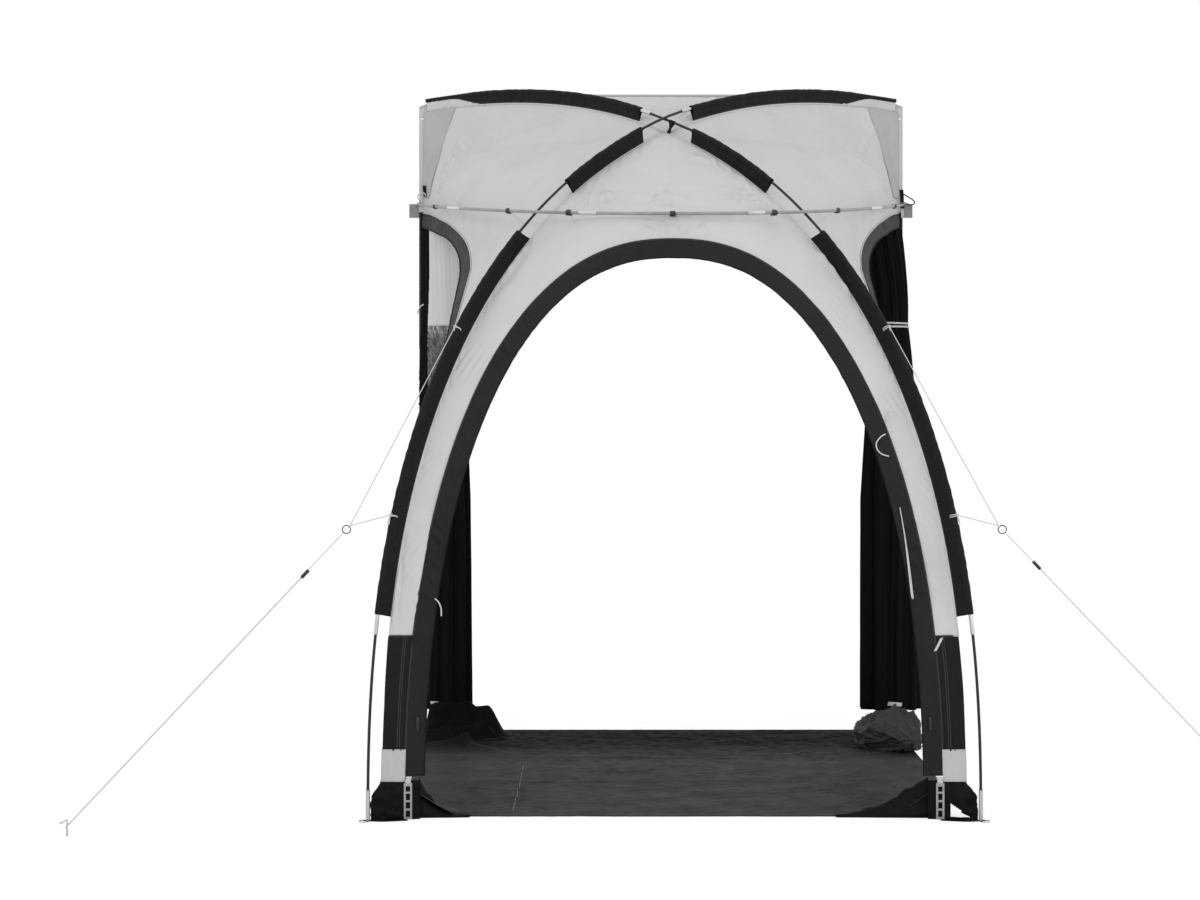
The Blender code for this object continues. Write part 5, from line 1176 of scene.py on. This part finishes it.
def buildDrape(side):
    name = sides[side]
    for tag, low, high, finish, slot in drape["zones"][side]:
        heights = np.linspace(low, high, max(24, int((high - low) / 0.012)))
        spots = drapeSpots(heights, side)
        if tag == "film":
            out = spots - spots.mean(axis=1, keepdims=True)
            out[..., 2] = 0
            out /= np.linalg.norm(out, axis=2)[..., None]
            turn = np.linspace(0, 2 * math.pi, spots.shape[1], endpoint=False)[None] * 0.08
            spots = spots + out * (0.0026 * drift(turn, spots[..., 2], 0.035, 91))[..., None]
        item = addCloth(f"{name}_drape_{tag}", spots, finish, slot, 0.0010, offset=1.0, closed=True,
                        hemEdges="v", hemWidth=0.015)
        if finish != "drapeCloth":      # black border towards the wall
            item.data.materials.append(material["drapeCloth"])
            for face in item.data.polygons:
                limit = drape["border"] + 0.004 * math.sin(9 * face.center.z)
                face.material_index = 1 if side * face.center.x > limit else 0
    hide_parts(f"{name}_drape")
    if side < 0:     # a short white tie at the wall side
        y = railY - drape["wall"] - drape["depth"] * 0.80
        path = [(x, y, z) for x, z in smoothLine(drape["loop"], 24)]
        roundBar(f"{name}_drape_loop", path, 0.0026, "cord")
    for number, height in enumerate(drape["ties"][side]):
        heights = drape["tie"] + height + np.linspace(-0.0036, 0.0036, 4)
        spots = drapeSpots(heights, side, grow=0.0030, around=160)
        turns = np.linspace(0, 2 * math.pi, 160, endpoint=False)
        spots[..., 2] += 0.0025 * np.cos(turns + 1.2 + 2.4 * number)[None]
        addCloth(f"{name}_drape_tie_{number + 1}", spots, "paleWebbing" if side > 0 else "blackWebbing",
                 "grey_cloth", 0.0012, offset=1.0, closed=True, hemEdges="v", hemWidth=0.002)
    # a pale tab on the lower hem
    x = side * drape["tabs"][side]
    y = railY - drape["wall"] - drape["depth"] * drape["footSpread"][side] - 0.002
    path = [(x - 0.028, y, 0.130), (x + 0.028, y, 0.126)]
    strap(f"{name}_drape_tab", path, (0.25 * side, 0, 1), 0.016, 0.0012, "paleWebbing", "grey_cloth")


for side in sides:
    buildDrape(side)
print("drapes made")

# groundsheet, with its black wings at the front corners
ground = {
    "half": 0.960, "frontHalf": 0.895, "taper": 6, "front": 1.630, "rear": 0.012, "thickness": 0.0012,
    "lift": 0.105, "reach": 0.230, "columns": 300, "rows": 260,
    # creases: x0, depth0, x1, depth1, width, height
    "creases": (
        (-0.52, 0.80, -0.52, 1.60, 0.006, 0.0045), (0.50, 0.35, 0.62, 1.55, 0.007, 0.0060),
        (0.02, 0.10, -0.02, 1.60, 0.005, 0.0030), (-0.90, 0.62, 0.40, 0.66, 0.006, 0.0034),
        (-0.80, 1.12, 0.86, 1.08, 0.006, 0.0036), (0.30, 0.30, 0.80, 0.90, 0.012, 0.0050),
        (-1.02, 0.12, -0.66, 0.12, 0.055, 0.1270), (-0.98, 0.30, -0.70, 0.20, 0.034, 0.0460),
        (-0.94, 0.16, -0.72, 0.08, 0.010, 0.0140), (-0.98, 0.20, -0.74, 0.15, 0.009, 0.0130),
        (-0.96, 0.25, -0.66, 0.22, 0.010, 0.0120), (-0.90, 0.34, -0.62, 0.27, 0.010, 0.0110),
        (-0.92, 0.40, -0.66, 0.30, 0.020, 0.0200), (-0.80, 0.16, -0.64, 0.26, 0.024, 0.0260),
        (-0.90, 0.20, -0.62, 0.55, 0.022, 0.0160), (-0.86, 0.30, -0.50, 0.44, 0.020, 0.0120),
        (0.62, 0.95, 0.88, 1.30, 0.010, 0.0050), (0.48, 1.20, 0.80, 1.52, 0.010, 0.0048),
        (-0.70, 1.20, -0.30, 1.28, 0.012, 0.0036), (0.10, 1.30, 0.52, 1.24, 0.012, 0.0034),
        (-0.60, 1.42, -0.10, 1.46, 0.012, 0.0032), (-0.30, 0.90, 0.20, 0.94, 0.012, 0.0030),
    ),
    # rows of stitches, from and to as x and depth
    "stitched": (
        ("left", (-0.52, 0.80), (-0.52, 1.58)), ("cross", (0.06, 0.62), (-0.88, 0.60)),
        ("right", (0.16, 0.57), (0.90, 0.55)),
    ),
}
wing = {"overlap": 0.010, "height": 0.118}


def groundHalf(v):
    return ground["half"] - (ground["half"] - ground["frontHalf"]) * v ** ground["taper"]


def buildGround():
    # drawn forward at its front corners, up to the flaps of the legs
    insides = []
    for side in sides:
        row = legRow(ground["lift"] + 0.002, side, 60)
        insides.append(-row[np.argmin(np.abs(row[:, 0] - side * ground["frontHalf"])), 1])
    pull = min(insides) - (ground["front"] - railY) - 0.006
    u = np.linspace(0, 1, ground["columns"])[None] * np.ones((ground["rows"], 1))
    v = np.linspace(0, 1, ground["rows"])[:, None] * np.ones((1, ground["columns"]))
    x = groundHalf(v) * (2 * u - 1)
    depth = ground["rear"] + (ground["front"] - ground["rear"]) * v
    ease = eased(1 - np.hypot(groundHalf(v) - np.abs(x), ground["front"] - depth) / ground["reach"])
    shape = folds(x, depth, ground["creases"])
    shape = shape + 0.0030 * drift(x, depth, 0.30, 101, 1.4) + 0.0016 * drift(x, depth, 0.08, 102, 2.6)
    shape = shape + 0.0007 * drift(x, depth, 0.035, 103, 3.2) + 0.0040
    calm = np.clip(np.minimum(1 - np.abs(2 * u - 1), np.minimum(v, 1 - v)) / 0.03, 0.15, 1)
    z = 0.0016 + ground["lift"] * ease + np.maximum(shape, 0.0) * calm * (1 - 0.7 * ease)
    spots = np.stack([x, railY - depth - pull * ease, np.maximum(z, 0.0008)], axis=-1)
    item = addCloth("ground_cloth", spots, "groundCloth", "sheet_cloth", ground["thickness"], "groundsheet",
                    hemWidth=0.020)
    declare(item)
    for tag, start, end in ground["stitched"]:
        path = []
        for x, depth in np.linspace(start, end, 60):
            v = (depth - ground["rear"]) / (ground["front"] - ground["rear"])
            u = (x / groundHalf(v) + 1) / 2
            row, column = round(v * (ground["rows"] - 1)), round(u * (ground["columns"] - 1))
            path.append(spots[row, column] + [0, 0, 0.0012])
        stitches(f"ground_stitches_{tag}", path, [(0, 0, 1)] * len(path), 0.0008)


def buildWing(side, reachIn, fall):
    # black wing of cloth that runs from the flap inwards along the sheet's front edge
    name = sides[side]
    near = legRow(0.085, side, 60)[0]
    start = leg["flapInner"] + wing["overlap"]
    rows = []
    for t in np.linspace(0, 1, 50):
        x = side * (start - (start - reachIn) * t)
        high = wing["height"] * (1 - t) ** fall + 0.005
        row = []
        for s in np.linspace(0, 1, 30):      # up from the ground at the front, over and back to the sheet
            rise = math.sin(math.pi * s * 1.05) ** 0.8 if s * 1.05 < 1 else 0.0
            y = near[1] + 0.010 + 0.010 * t + (0.030 + 0.085 * (1 - t)) * s
            z = 0.0020 + high * rise + 0.0045 * s
            crease = 0.0050 * math.sin(14 * t + 9 * s) + 0.0030 * math.sin(31 * t - 13 * s)
            row.append((x, y + crease * 0.6 * rise, max(0.0010, z + crease * rise * (1 - t))))
        rows.append(row)
    spots = np.array(rows)
    spots[:, -1, 2] = 0.0085
    item = addCloth(f"{name}_ground_wing", spots, "flapCloth", "black_cloth", 0.0010, hemWidth=0.006)
    declare(item)


buildGround()
buildWing(-1, 0.655, 3.2)
buildWing(1, 0.520, 1.9)
print("groundsheet made")

# door panel, unzipped, rolled and laid on the sheet
roll = {
    "length": 0.340, "width": 0.220, "height": 0.150, "x": 0.855, "wall": 0.430, "turn": 24,
    "sink": 0.36, "end": 0.55, "lumps": (0.10, 5, 2, 4, 0.07, 9, 3), "shift": 0.012, "heap": 0.30,
    "steep": 0.34, "flatAt": 0.0085,
    # creases: rates along x, y and z, phase, height
    "creases": (
        (2.6, 1.1, -2.2, 0.4, 0.16), (-3.8, 2.0, 3.1, 1.9, 0.12), (5.2, -2.6, 4.4, 0.9, 0.09),
        (1.2, 5.1, 2.2, 2.6, 0.07), (8.1, 3.4, -6.2, 1.1, 0.06), (-6.5, 7.4, 5.0, 0.2, 0.05),
        (3.0, 12.0, -9.0, 0.7, 0.05), (-4.0, 15.0, -12.0, 2.1, 0.035),
    ),
}


def ball(columns, rings):
    # places and faces of a sphere of radius 1, always in the same order
    tilt = np.linspace(0, math.pi, rings + 1)[1:-1, None]
    turn = math.pi / 2 + np.linspace(0, 2 * math.pi, columns, endpoint=False)[None]
    spots = np.stack(np.broadcast_arrays(
        np.sin(tilt) * np.cos(turn), np.sin(tilt) * np.sin(turn), np.cos(tilt)), axis=-1).reshape(-1, 3)
    here = np.arange(len(spots)).reshape(rings - 1, columns)
    after = np.roll(here, -1, axis=1)
    faces = np.stack([here[:-1], here[1:], after[1:], after[:-1]], axis=-1).reshape(-1, 4).tolist()
    faces += [(len(spots), a, b) for a, b in zip(here[0].tolist(), after[0].tolist())]
    faces += [(len(spots) + 1, b, a) for a, b in zip(here[-1].tolist(), after[-1].tolist())]
    return spots.tolist() + [(0, 0, 1), (0, 0, -1)], faces


def buildRoll():
    places, faces = ball(150, 96)
    deep, alongX, alongZ, alongY, fine, fineY, fineX = roll["lumps"]
    turn = Matrix.Rotation(math.radians(roll["turn"]), 3, "Z")
    middle = Vector((roll["x"], railY - roll["wall"], 0.0063 + roll["height"] * roll["sink"]))
    points = []
    for x, y, z in places:
        lump = 1 + deep * math.sin(alongX * x + alongZ * z) * math.cos(alongY * y)
        lump += fine * math.sin(fineY * y + fineX * x)
        flat = roll["end"] + (1 - roll["end"]) * (1 - abs(y) ** 3)
        lap = 0.0
        for a, b, c, phase, high in roll["creases"]:
            wave = math.sin(a * x + b * y + c * z + phase + 0.6 * math.sin(3 * x - 2 * z))
            lap += high * (1 - abs(wave)) ** 2.2
        lump += lap - 0.06
        steep = min(2.0, (1.0001 - x * x) ** -roll["steep"]) if x > 0 else 1.0
        point = middle + turn @ Vector((
            roll["width"] / 2 * x * lump * flat + roll["shift"], roll["length"] / 2 * y * (1 + 0.4 * lap),
            roll["height"] / 2 * z * lump * flat * (1 + roll["heap"] * x) * steep,
        ))
        if point.z < roll["flatAt"]:
            point.z = roll["flatAt"] + (point.z - roll["flatAt"]) * 0.02
        points.append(point)
    mesh = bpy.data.meshes.new("rolled_door")
    mesh.from_pydata(points, [], faces)
    layer = mesh.uv_layers.new(name="cut")
    for loop in mesh.loops:
        place = mesh.vertices[loop.vertex_index].co
        layer.data[loop.index].uv = (place.y + place.z, place.x - place.z)
    mesh.shade_smooth()
    item = addObject("rolled_door", mesh, "rollCloth")
    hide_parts("door_bundle")


buildRoll()
print("rolled door made")

# hem along the rail and down the wall
hem = {"top": 2.546, "deep": 0.046, "side": 0.026, "foot": 0.090, "bead": 0.0075, "dark": (1.560, 2.120)}


def hemStrip(name, xs, zs, across, up, finish, seed, replaced=None, lifted=False):
    u = np.linspace(0, 1, across)[None]
    v = np.linspace(0, 1, up)[:, None]
    x, z = xs[0] + (xs[1] - xs[0]) * u * np.ones_like(v), zs[0] + (zs[1] - zs[0]) * v * np.ones_like(u)
    y = railY - 0.0021 - 0.0012 * (0.5 + 0.5 * drift(x, z, 0.12, seed))
    if lifted:
        z = z + railLift(x)
    return addCloth(name, np.stack([x, y, z], -1), finish, "grey_cloth", 0.0012, replaced, hemWidth=0.006)


def buildHem():
    low, high = hem["top"] - hem["deep"], hem["top"]
    ends = (-railHalf, railHalf)
    top = hemStrip("rail_hem_top", ends, (low, high), 300, 10, "paleCloth", 111, "rail_hem", True)
    for side, name in sides.items():
        xs = sorted((side * (railHalf - hem["side"]), side * railHalf))
        for tag, zs, finish in (
            ("low", (hem["foot"], hem["dark"][0]), "paleCloth"), ("dark", hem["dark"], "drapeCloth"),
            ("high", (hem["dark"][1], low), "paleCloth"),
        ):
            declare(hemStrip(f"{name}_hem_{tag}", xs, zs, 8, 120, finish, 112))
        path = [(side * (railHalf - 0.004), railY - 0.0042, z) for z in np.linspace(hem["foot"], high, 80)]
        stitches(f"{name}_hem_stitches", path, [(0, -1, 0)] * 80, 0.0008).name
    for offset, tag in ((0.007, "a"), (0.039, "b")):
        places = np.linspace(-railHalf, railHalf, 240)
        path = [(x, railY - 0.0042, high - offset + railLift(x)) for x in places]
        stitches(f"rail_stitches_{tag}", path, [(0, -1, 0)] * 240, 0.0008).name
    height = high + hem["bead"] * 0.33
    path = [(x, railY - hem["bead"] / 2, height + railLift(x)) for x in np.linspace(-railHalf, railHalf, 160)]
    roundBar("keder_bead", path, hem["bead"] / 2, "paleCloth")
    declare(top)


buildHem()
print("rail hem made")

# poles: bright ferrules over their joints, bright sleeves on the brow pole, webbing at the crown
joint = {
    "first": arch["footSection"], "count": 5, "before": 0.045, "after": 0.030,
    "section": (lengthAtRun(0.5) + arch["crownJoint"] - arch["footSection"]) / 4,
    "radius": 0.0067, "cap": (0.0043, 0.1023), "browShares": (-0.800, -0.280, 0.280, 0.800),
    "browHalf": 0.030, "browRadius": 0.0070,
}


def buildFerrules():
    for foot, name in sides.items():
        middles = [joint["first"] + joint["section"] * number for number in range(joint["count"])]
        spans = [(middle - joint["before"], middle + joint["after"]) for middle in middles]
        for number, (start, end) in enumerate([joint["cap"]] + spans):
            path = [poleSpot(length, foot) for length in np.linspace(start, end, 9)]
            roundBar(f"{name}_ferrule_{number}", path, joint["radius"], "steel",
                     radii=[0.93, *[1] * 7, 0.93], resolution=6)
    half = joint["browHalf"] / railHalf
    for number, share in enumerate(joint["browShares"]):
        path = [browSpot(s) for s in np.linspace(share - half, share + half, 9)]
        roundBar(f"brow_sleeve_{number + 1}", path, joint["browRadius"], "steel", resolution=6)


buildFerrules()

# clips that hold the brow pole: an open ring with rounded lips on a piece of webbing or elastic
clips = {
    "shares": (-0.900, -0.565, -0.345, 0.0, 0.345, 0.600, 0.925), "width": 0.018, "wall": 0.0034,
    "ease": 0.0014, "mouth": 74, "far": 0.030,
}


def clothTree(names):
    points, faces = [], []
    for name in names:
        data = scene.objects[name].data
        start = len(points)
        points += [vertex.co.copy() for vertex in data.vertices]
        faces += [[start + number for number in face.vertices] for face in data.polygons]
    return BVHTree.FromPolygons(points, faces)


def buildClips():
    tree = clothTree(["front_canopy", "left_side_canopy", "right_side_canopy", "left_side_trim_cloth",
                      "right_side_trim_cloth"])
    inner, half = brow["radius"] + clips["ease"], math.radians(clips["mouth"] / 2)
    for number, share in enumerate(clips["shares"]):
        name = f"brow_clip_{number + 1}"
        middle = browSpot(share)
        way = (browSpot(min(1.0, share + 0.01)) - browSpot(share - 0.01)).normalized()
        found = tree.find_nearest(middle)[0]
        towards = found - middle
        reach = towards.length
        towards = (towards - way * towards.dot(way)).normalized()
        third = way.cross(towards)
        rows = []
        for turn in np.linspace(half, 2 * math.pi - half, 41):
            bent = math.cos((turn - math.pi) * math.pi / (2 * math.pi - 2 * half))
            lip = 0.0016 * max(0.0, bent * -1 + 0.15)
            out = inner + clips["wall"] / 2 + lip
            place = middle + third * math.cos(turn) * out + towards * math.sin(turn) * out
            wide = clips["width"] * (1 - 0.10 * math.cos(turn))
            rows.append([place + way * wide * s for s in np.linspace(-0.5, 0.5, 9)])
        item = addCloth(f"{name}_ring", np.array(rows), "blackPlastic", "black_plastic", clips["wall"], name,
                        hemWidth=0.002)
        edge = item.modifiers.new("edge", "BEVEL")
        edge.width = 0.0006
        edge.segments = 2
        start = middle + towards * (inner + clips["wall"] * 0.5)
        if reach < clips["far"]:
            strap(f"{name}_webbing", [start, middle + towards * reach], way, 0.011, 0.0016, "blackWebbing",
                  "black_cloth")
        else:
            path = [
                start.lerp(found, t) + third * 0.0015 * math.sin(math.pi * t) for t in np.linspace(0, 1, 12)
            ]
            roundBar(f"{name}_elastic", path, 0.0012, "cord")


buildClips()

crown = {"run": 0.030, "width": 0.023, "waist": 0.007, "thickness": 0.0014, "rounds": 28}


def buildCrown():
    length = lengthAtRun(0.5) - crown["run"]
    middle = poleSpot(length, 1)
    way = (poleSpot(length + crown["width"], 1) - middle).normalized()
    inwards = (poleSpot(length, 1, inset=finDepth(length)) - middle).normalized()
    third = way.cross(inwards)
    radius = arch["poleRadius"] + 0.0012
    drop = finDepth(length) + 0.0012
    outline = [(drop * t, 0.0022) for t in np.linspace(1, 0.22, 14)]
    turns = np.linspace(0.7, 2 * math.pi - 0.7, crown["rounds"])
    outline += [(radius * math.cos(a), radius * math.sin(a)) for a in turns]
    outline += [(drop * t, -0.0022) for t in np.linspace(0.22, 1, 14)]
    rows = []
    for down, out in outline:
        part = max(0.0, min(1.0, (down - radius) / (drop - radius)))
        wide = crown["waist"] + (crown["width"] - crown["waist"]) * abs(2 * part - 1) ** 1.3
        if down < radius:
            wide = crown["width"]
        base = middle + inwards * down + third * out
        rows.append([base + way * wide * s for s in np.linspace(-0.5, 0.5, 9)])
    item = addCloth("crown_webbing", np.array(rows), "blackWebbing", "black_cloth", crown["thickness"],
                    "crown_tie", hemWidth=0.003)
    declare(item)


buildCrown()
print("ferrules and crown webbing made")

# knots, tabs and hooks
tabThickness = 0.0013


def knotCord(name, path, closed=True):
    roundBar(name, path, guy["radius"], "cord", cyclic=closed)


def buildKnots():
    # two turns, a ball and two tails where the bridle is tied to the sleeve
    radius = guy["sleeve"] + guy["radius"]
    turns = np.linspace(0, 2 * math.pi, 33)[:-1]
    for (side, name), tag in ((item, tag) for item in sides.items() for tag in ("upper", "lower")):
        length = lengthAtHeight(guy[tag])
        middle = poleSpot(length, side)
        way = (poleSpot(length + 0.01, side) - middle).normalized()
        out = (poleSpot(length, side, inset=-0.02) - middle).normalized()
        third = way.cross(out)
        for number, (shift, tilt) in enumerate(((-0.0026, 0.10), (0.0010, -0.12))):
            knotCord(f"{name}_{tag}_knot_{number + 1}", [
                middle + way * (shift + tilt * radius * math.sin(a))
                + (out * math.cos(a) + third * math.sin(a)) * radius
                for a in turns
            ])
        knotCord(f"{name}_{tag}_knot_ball", [
            middle + out * (radius + 0.0022 * math.cos(2 * a) + 0.0016) + way * 0.0045 * math.sin(a)
            + third * 0.0040 * math.cos(3 * a) for a in np.linspace(0, 2 * math.pi, 25)[:-1]
        ])
        for number, lean in enumerate((0.35, -0.15)):
            knotCord(f"{name}_{tag}_knot_tail_{number + 1}", [
                middle + out * (radius + 0.003 + 0.006 * t) + way * 0.002
                + Vector((side * lean * 0.012 * t, -0.004 * t * number, -0.030 * t - 0.004 * t * t))
                for t in np.linspace(0, 1, 10)
            ], closed=False)


buildKnots()


def frontAt(x, z, lift):
    # a place on the front cloth, lifted off it towards the camera's side
    return Vector(frontSpots(x, z)) + Vector((0, -lift, 0))


def buildTabs():
    for side, name in sides.items():
        # pale webbing from the flap down to the ladder
        x = side * 0.850
        path = [(x - side * 0.004, -0.8235, 0.139), (x, -0.8245, 0.126), (x, -0.8250, 0.108)]
        strap(f"{name}_ladder_strap", path, (1, 0, 0), 0.018, tabThickness, "paleWebbing", "grey_cloth")
        # black webbing on the ground from the ladder to the pole's foot
        foot = spot(0.0, 0.0, side)
        path = [(x, -0.829, 0.0012), (side * 0.885, -0.838, 0.0014), (side * 0.930, -0.845, 0.0012),
                (foot.x + side * 0.014, foot.y - 0.001, 0.0046)]
        strap(f"{name}_foot_strap", path, (0, 1, 0), 0.016, tabThickness, "blackWebbing", "black_cloth")


buildTabs()

# small white loops and a toggle along the door: how far off the front, and x and z on it
toggles = {
    "right_toggle": (0.0150, ((0.695, 1.285), (0.699, 1.277), (0.706, 1.282), (0.704, 1.294),
                              (0.709, 1.306), (0.718, 1.309))),
    "right_loop": (0.0110, ((0.688, 1.232), (0.671, 1.222), (0.657, 1.203), (0.659, 1.183), (0.673, 1.168),
                            (0.697, 1.160))),
    "left_loop": (0.0110, ((-0.766, 0.706), (-0.754, 0.694), (-0.746, 0.674), (-0.745, 0.650))),
}
# zip tapes on the front: x, z and width
tapes = {
    "right_door_tape": ((0.729, 0.996, 0.003), (0.743, 0.905, 0.004), (0.753, 0.820, 0.007),
                        (0.763, 0.725, 0.008), (0.766, 0.704, 0.006)),
    "right_pull_tape": ((0.858, 0.580, 0.010), (0.848, 0.560, 0.010), (0.836, 0.538, 0.010)),
}


def buildToggles():
    for name, (lift, places) in toggles.items():
        path = [frontAt(x, z, lift) for x, z in smoothLine(places, 40)]
        roundBar(f"{name}_cord", path, 0.0022, "cord")
    across = Vector((1, 0, 0.2))
    for name, places in tapes.items():
        rows = [[frontAt(x, z, 0.0085) + across * width * s for s in np.linspace(-0.5, 0.5, 4)]
                for x, z, width in smoothLine(places, 40)]
        addCloth(name, np.array(rows), "paleWebbing", "grey_cloth", tabThickness, hemWidth=0.002)


buildToggles()

# cords and webbing that hold the brow pole's ends at the wall: distance from it, then x and z at the end
wallCurls = {
    "left_wall_curl": (0.0420, "cord", "white_cord", (
        (-0.958, 2.184), (-0.968, 2.195), (-0.982, 2.193), (-0.992, 2.180), (-0.988, 2.168),
        (-0.979, 2.167))),
    "right_wall_curl": (0.0145, "blackWebbing", "black_cloth", (
        (0.986, 2.196), (1.003, 2.186), (1.026, 2.172), (1.037, 2.160), (1.030, 2.150), (1.008, 2.152),
        (0.990, 2.160))),
}
wallTabs = {
    "left_wall_tab": (0.0380, 0.014, "blackWebbing", (
        (-0.9655, 2.225), (-0.9640, 2.205), (-0.9620, 2.180))),
    "right_wall_tab": (0.0065, 0.015, "blackWebbing", ((0.9850, 2.212), (0.9870, 2.180), (0.9880, 2.136))),
    "right_wall_tape": (0.0065, 0.012, "paleWebbing", ((0.9880, 2.134), (0.9885, 2.096))),
}


def buildWallBits():
    for name, (offset, finish, slot, places) in wallCurls.items():
        path = [(x, railY - offset, z) for x, z in smoothLine(places, 40)]
        roundBar(name, path, 0.0024, finish)
    for name, (offset, width, finish, places) in wallTabs.items():
        path = [(x, railY - offset, z) for x, z in places]
        strap(name, path, (1, 0, 0), width, 0.0016, finish, "black_cloth")


buildWallBits()
print("straps and knots made")

# finishes of the solids that are shown as they are, on both sides
shown = {
    "blackRod": [f"pole_{number}" for number in range(1, 7)], "steel": ["foot_pin", "ground_peg"],
    "blackPlastic": ["guy_ring", "tensioner", "zip_slider"], "greyPlastic": ["wall_plate"],
    "paleRubber": ["pegging_ladder"],
}
solids = [("greyRod", "brow_pole")]
for finish, names in shown.items():
    solids += [(finish, f"{side}_{name}") for name in names for side in sides.values()]
for finish, name in solids:
    for place in bpy.data.objects[name].material_slots:
        place.material = material[finish]

# floor, world and lamps
stage = {
    "floor": 14.0, "backdrop": 0.80, "key": 52, "fill": 40, "floorMix": 0.75, "floorGlow": 1.12,
    "floorTone": 0.86,
}


def buildFloor():
    half = stage["floor"]
    mesh = bpy.data.meshes.new("floor")
    corners = [(-half, -half, 0), (half, -half, 0), (half, half, 0), (-half, half, 0)]
    mesh.from_pydata(corners, [], [(0, 1, 2, 3)])
    item = bpy.data.objects.new("floor", mesh)
    scene.collection.objects.link(item)
    made, tree = newMaterial("floor")
    shader = tree.nodes["Principled BSDF"]
    feed(tree, shader, {"Base Color": (*[stage["floorTone"]] * 3, 1), "Roughness": 0.9})
    seen = addNode(tree, "LightPath", "Is Camera Ray")
    share = addNode(tree, "Math", "Value", {0: seen, 1: stage["floorMix"]}, operation="MULTIPLY")
    glow = addNode(tree, "Emission", "Emission", {"Strength": stage["floorGlow"]})
    mixed = addNode(tree, "MixShader", "Shader", {"Fac": share, 1: shader.outputs[0], 2: glow})
    feed(tree, tree.nodes["Material Output"], {"Surface": mixed})
    mesh.materials.append(made)


def buildWorld():
    world = bpy.data.worlds.new("studio")
    world.use_nodes = True
    scene.world = world
    tree = world.node_tree
    either = 0.0
    for ray in ("Is Camera Ray", "Is Glossy Ray", "Is Transmission Ray"):
        seen = addNode(tree, "LightPath", ray)
        either = addNode(tree, "Math", "Value", {0: either, 1: seen}, operation="MAXIMUM")
    level = addNode(tree, "MapRange", "Result", {"Value": either, "To Min": stage["backdrop"], "To Max": 1.0})
    feed(tree, tree.nodes["Background"], {"Color": (1, 1, 1, 1), "Strength": level})


def addLamp(name, place, target, power, size):
    data = bpy.data.lights.new(name, "AREA")
    data.energy = power
    data.size = size
    item = bpy.data.objects.new(name, data)
    item.location = place
    item.rotation_euler = (Vector(target) - Vector(place)).to_track_quat("-Z", "Y").to_euler()
    scene.collection.objects.link(item)


buildFloor()
buildWorld()
addLamp("key", (-3.2, -4.6, 4.6), (0, 0, 1.2), stage["key"], 2.6)
addLamp("fill", (3.6, -4.2, 2.6), (0, 0, 1.2), stage["fill"], 3.2)
print("floor and lamps placed")

bpy.context.view_layer.update()
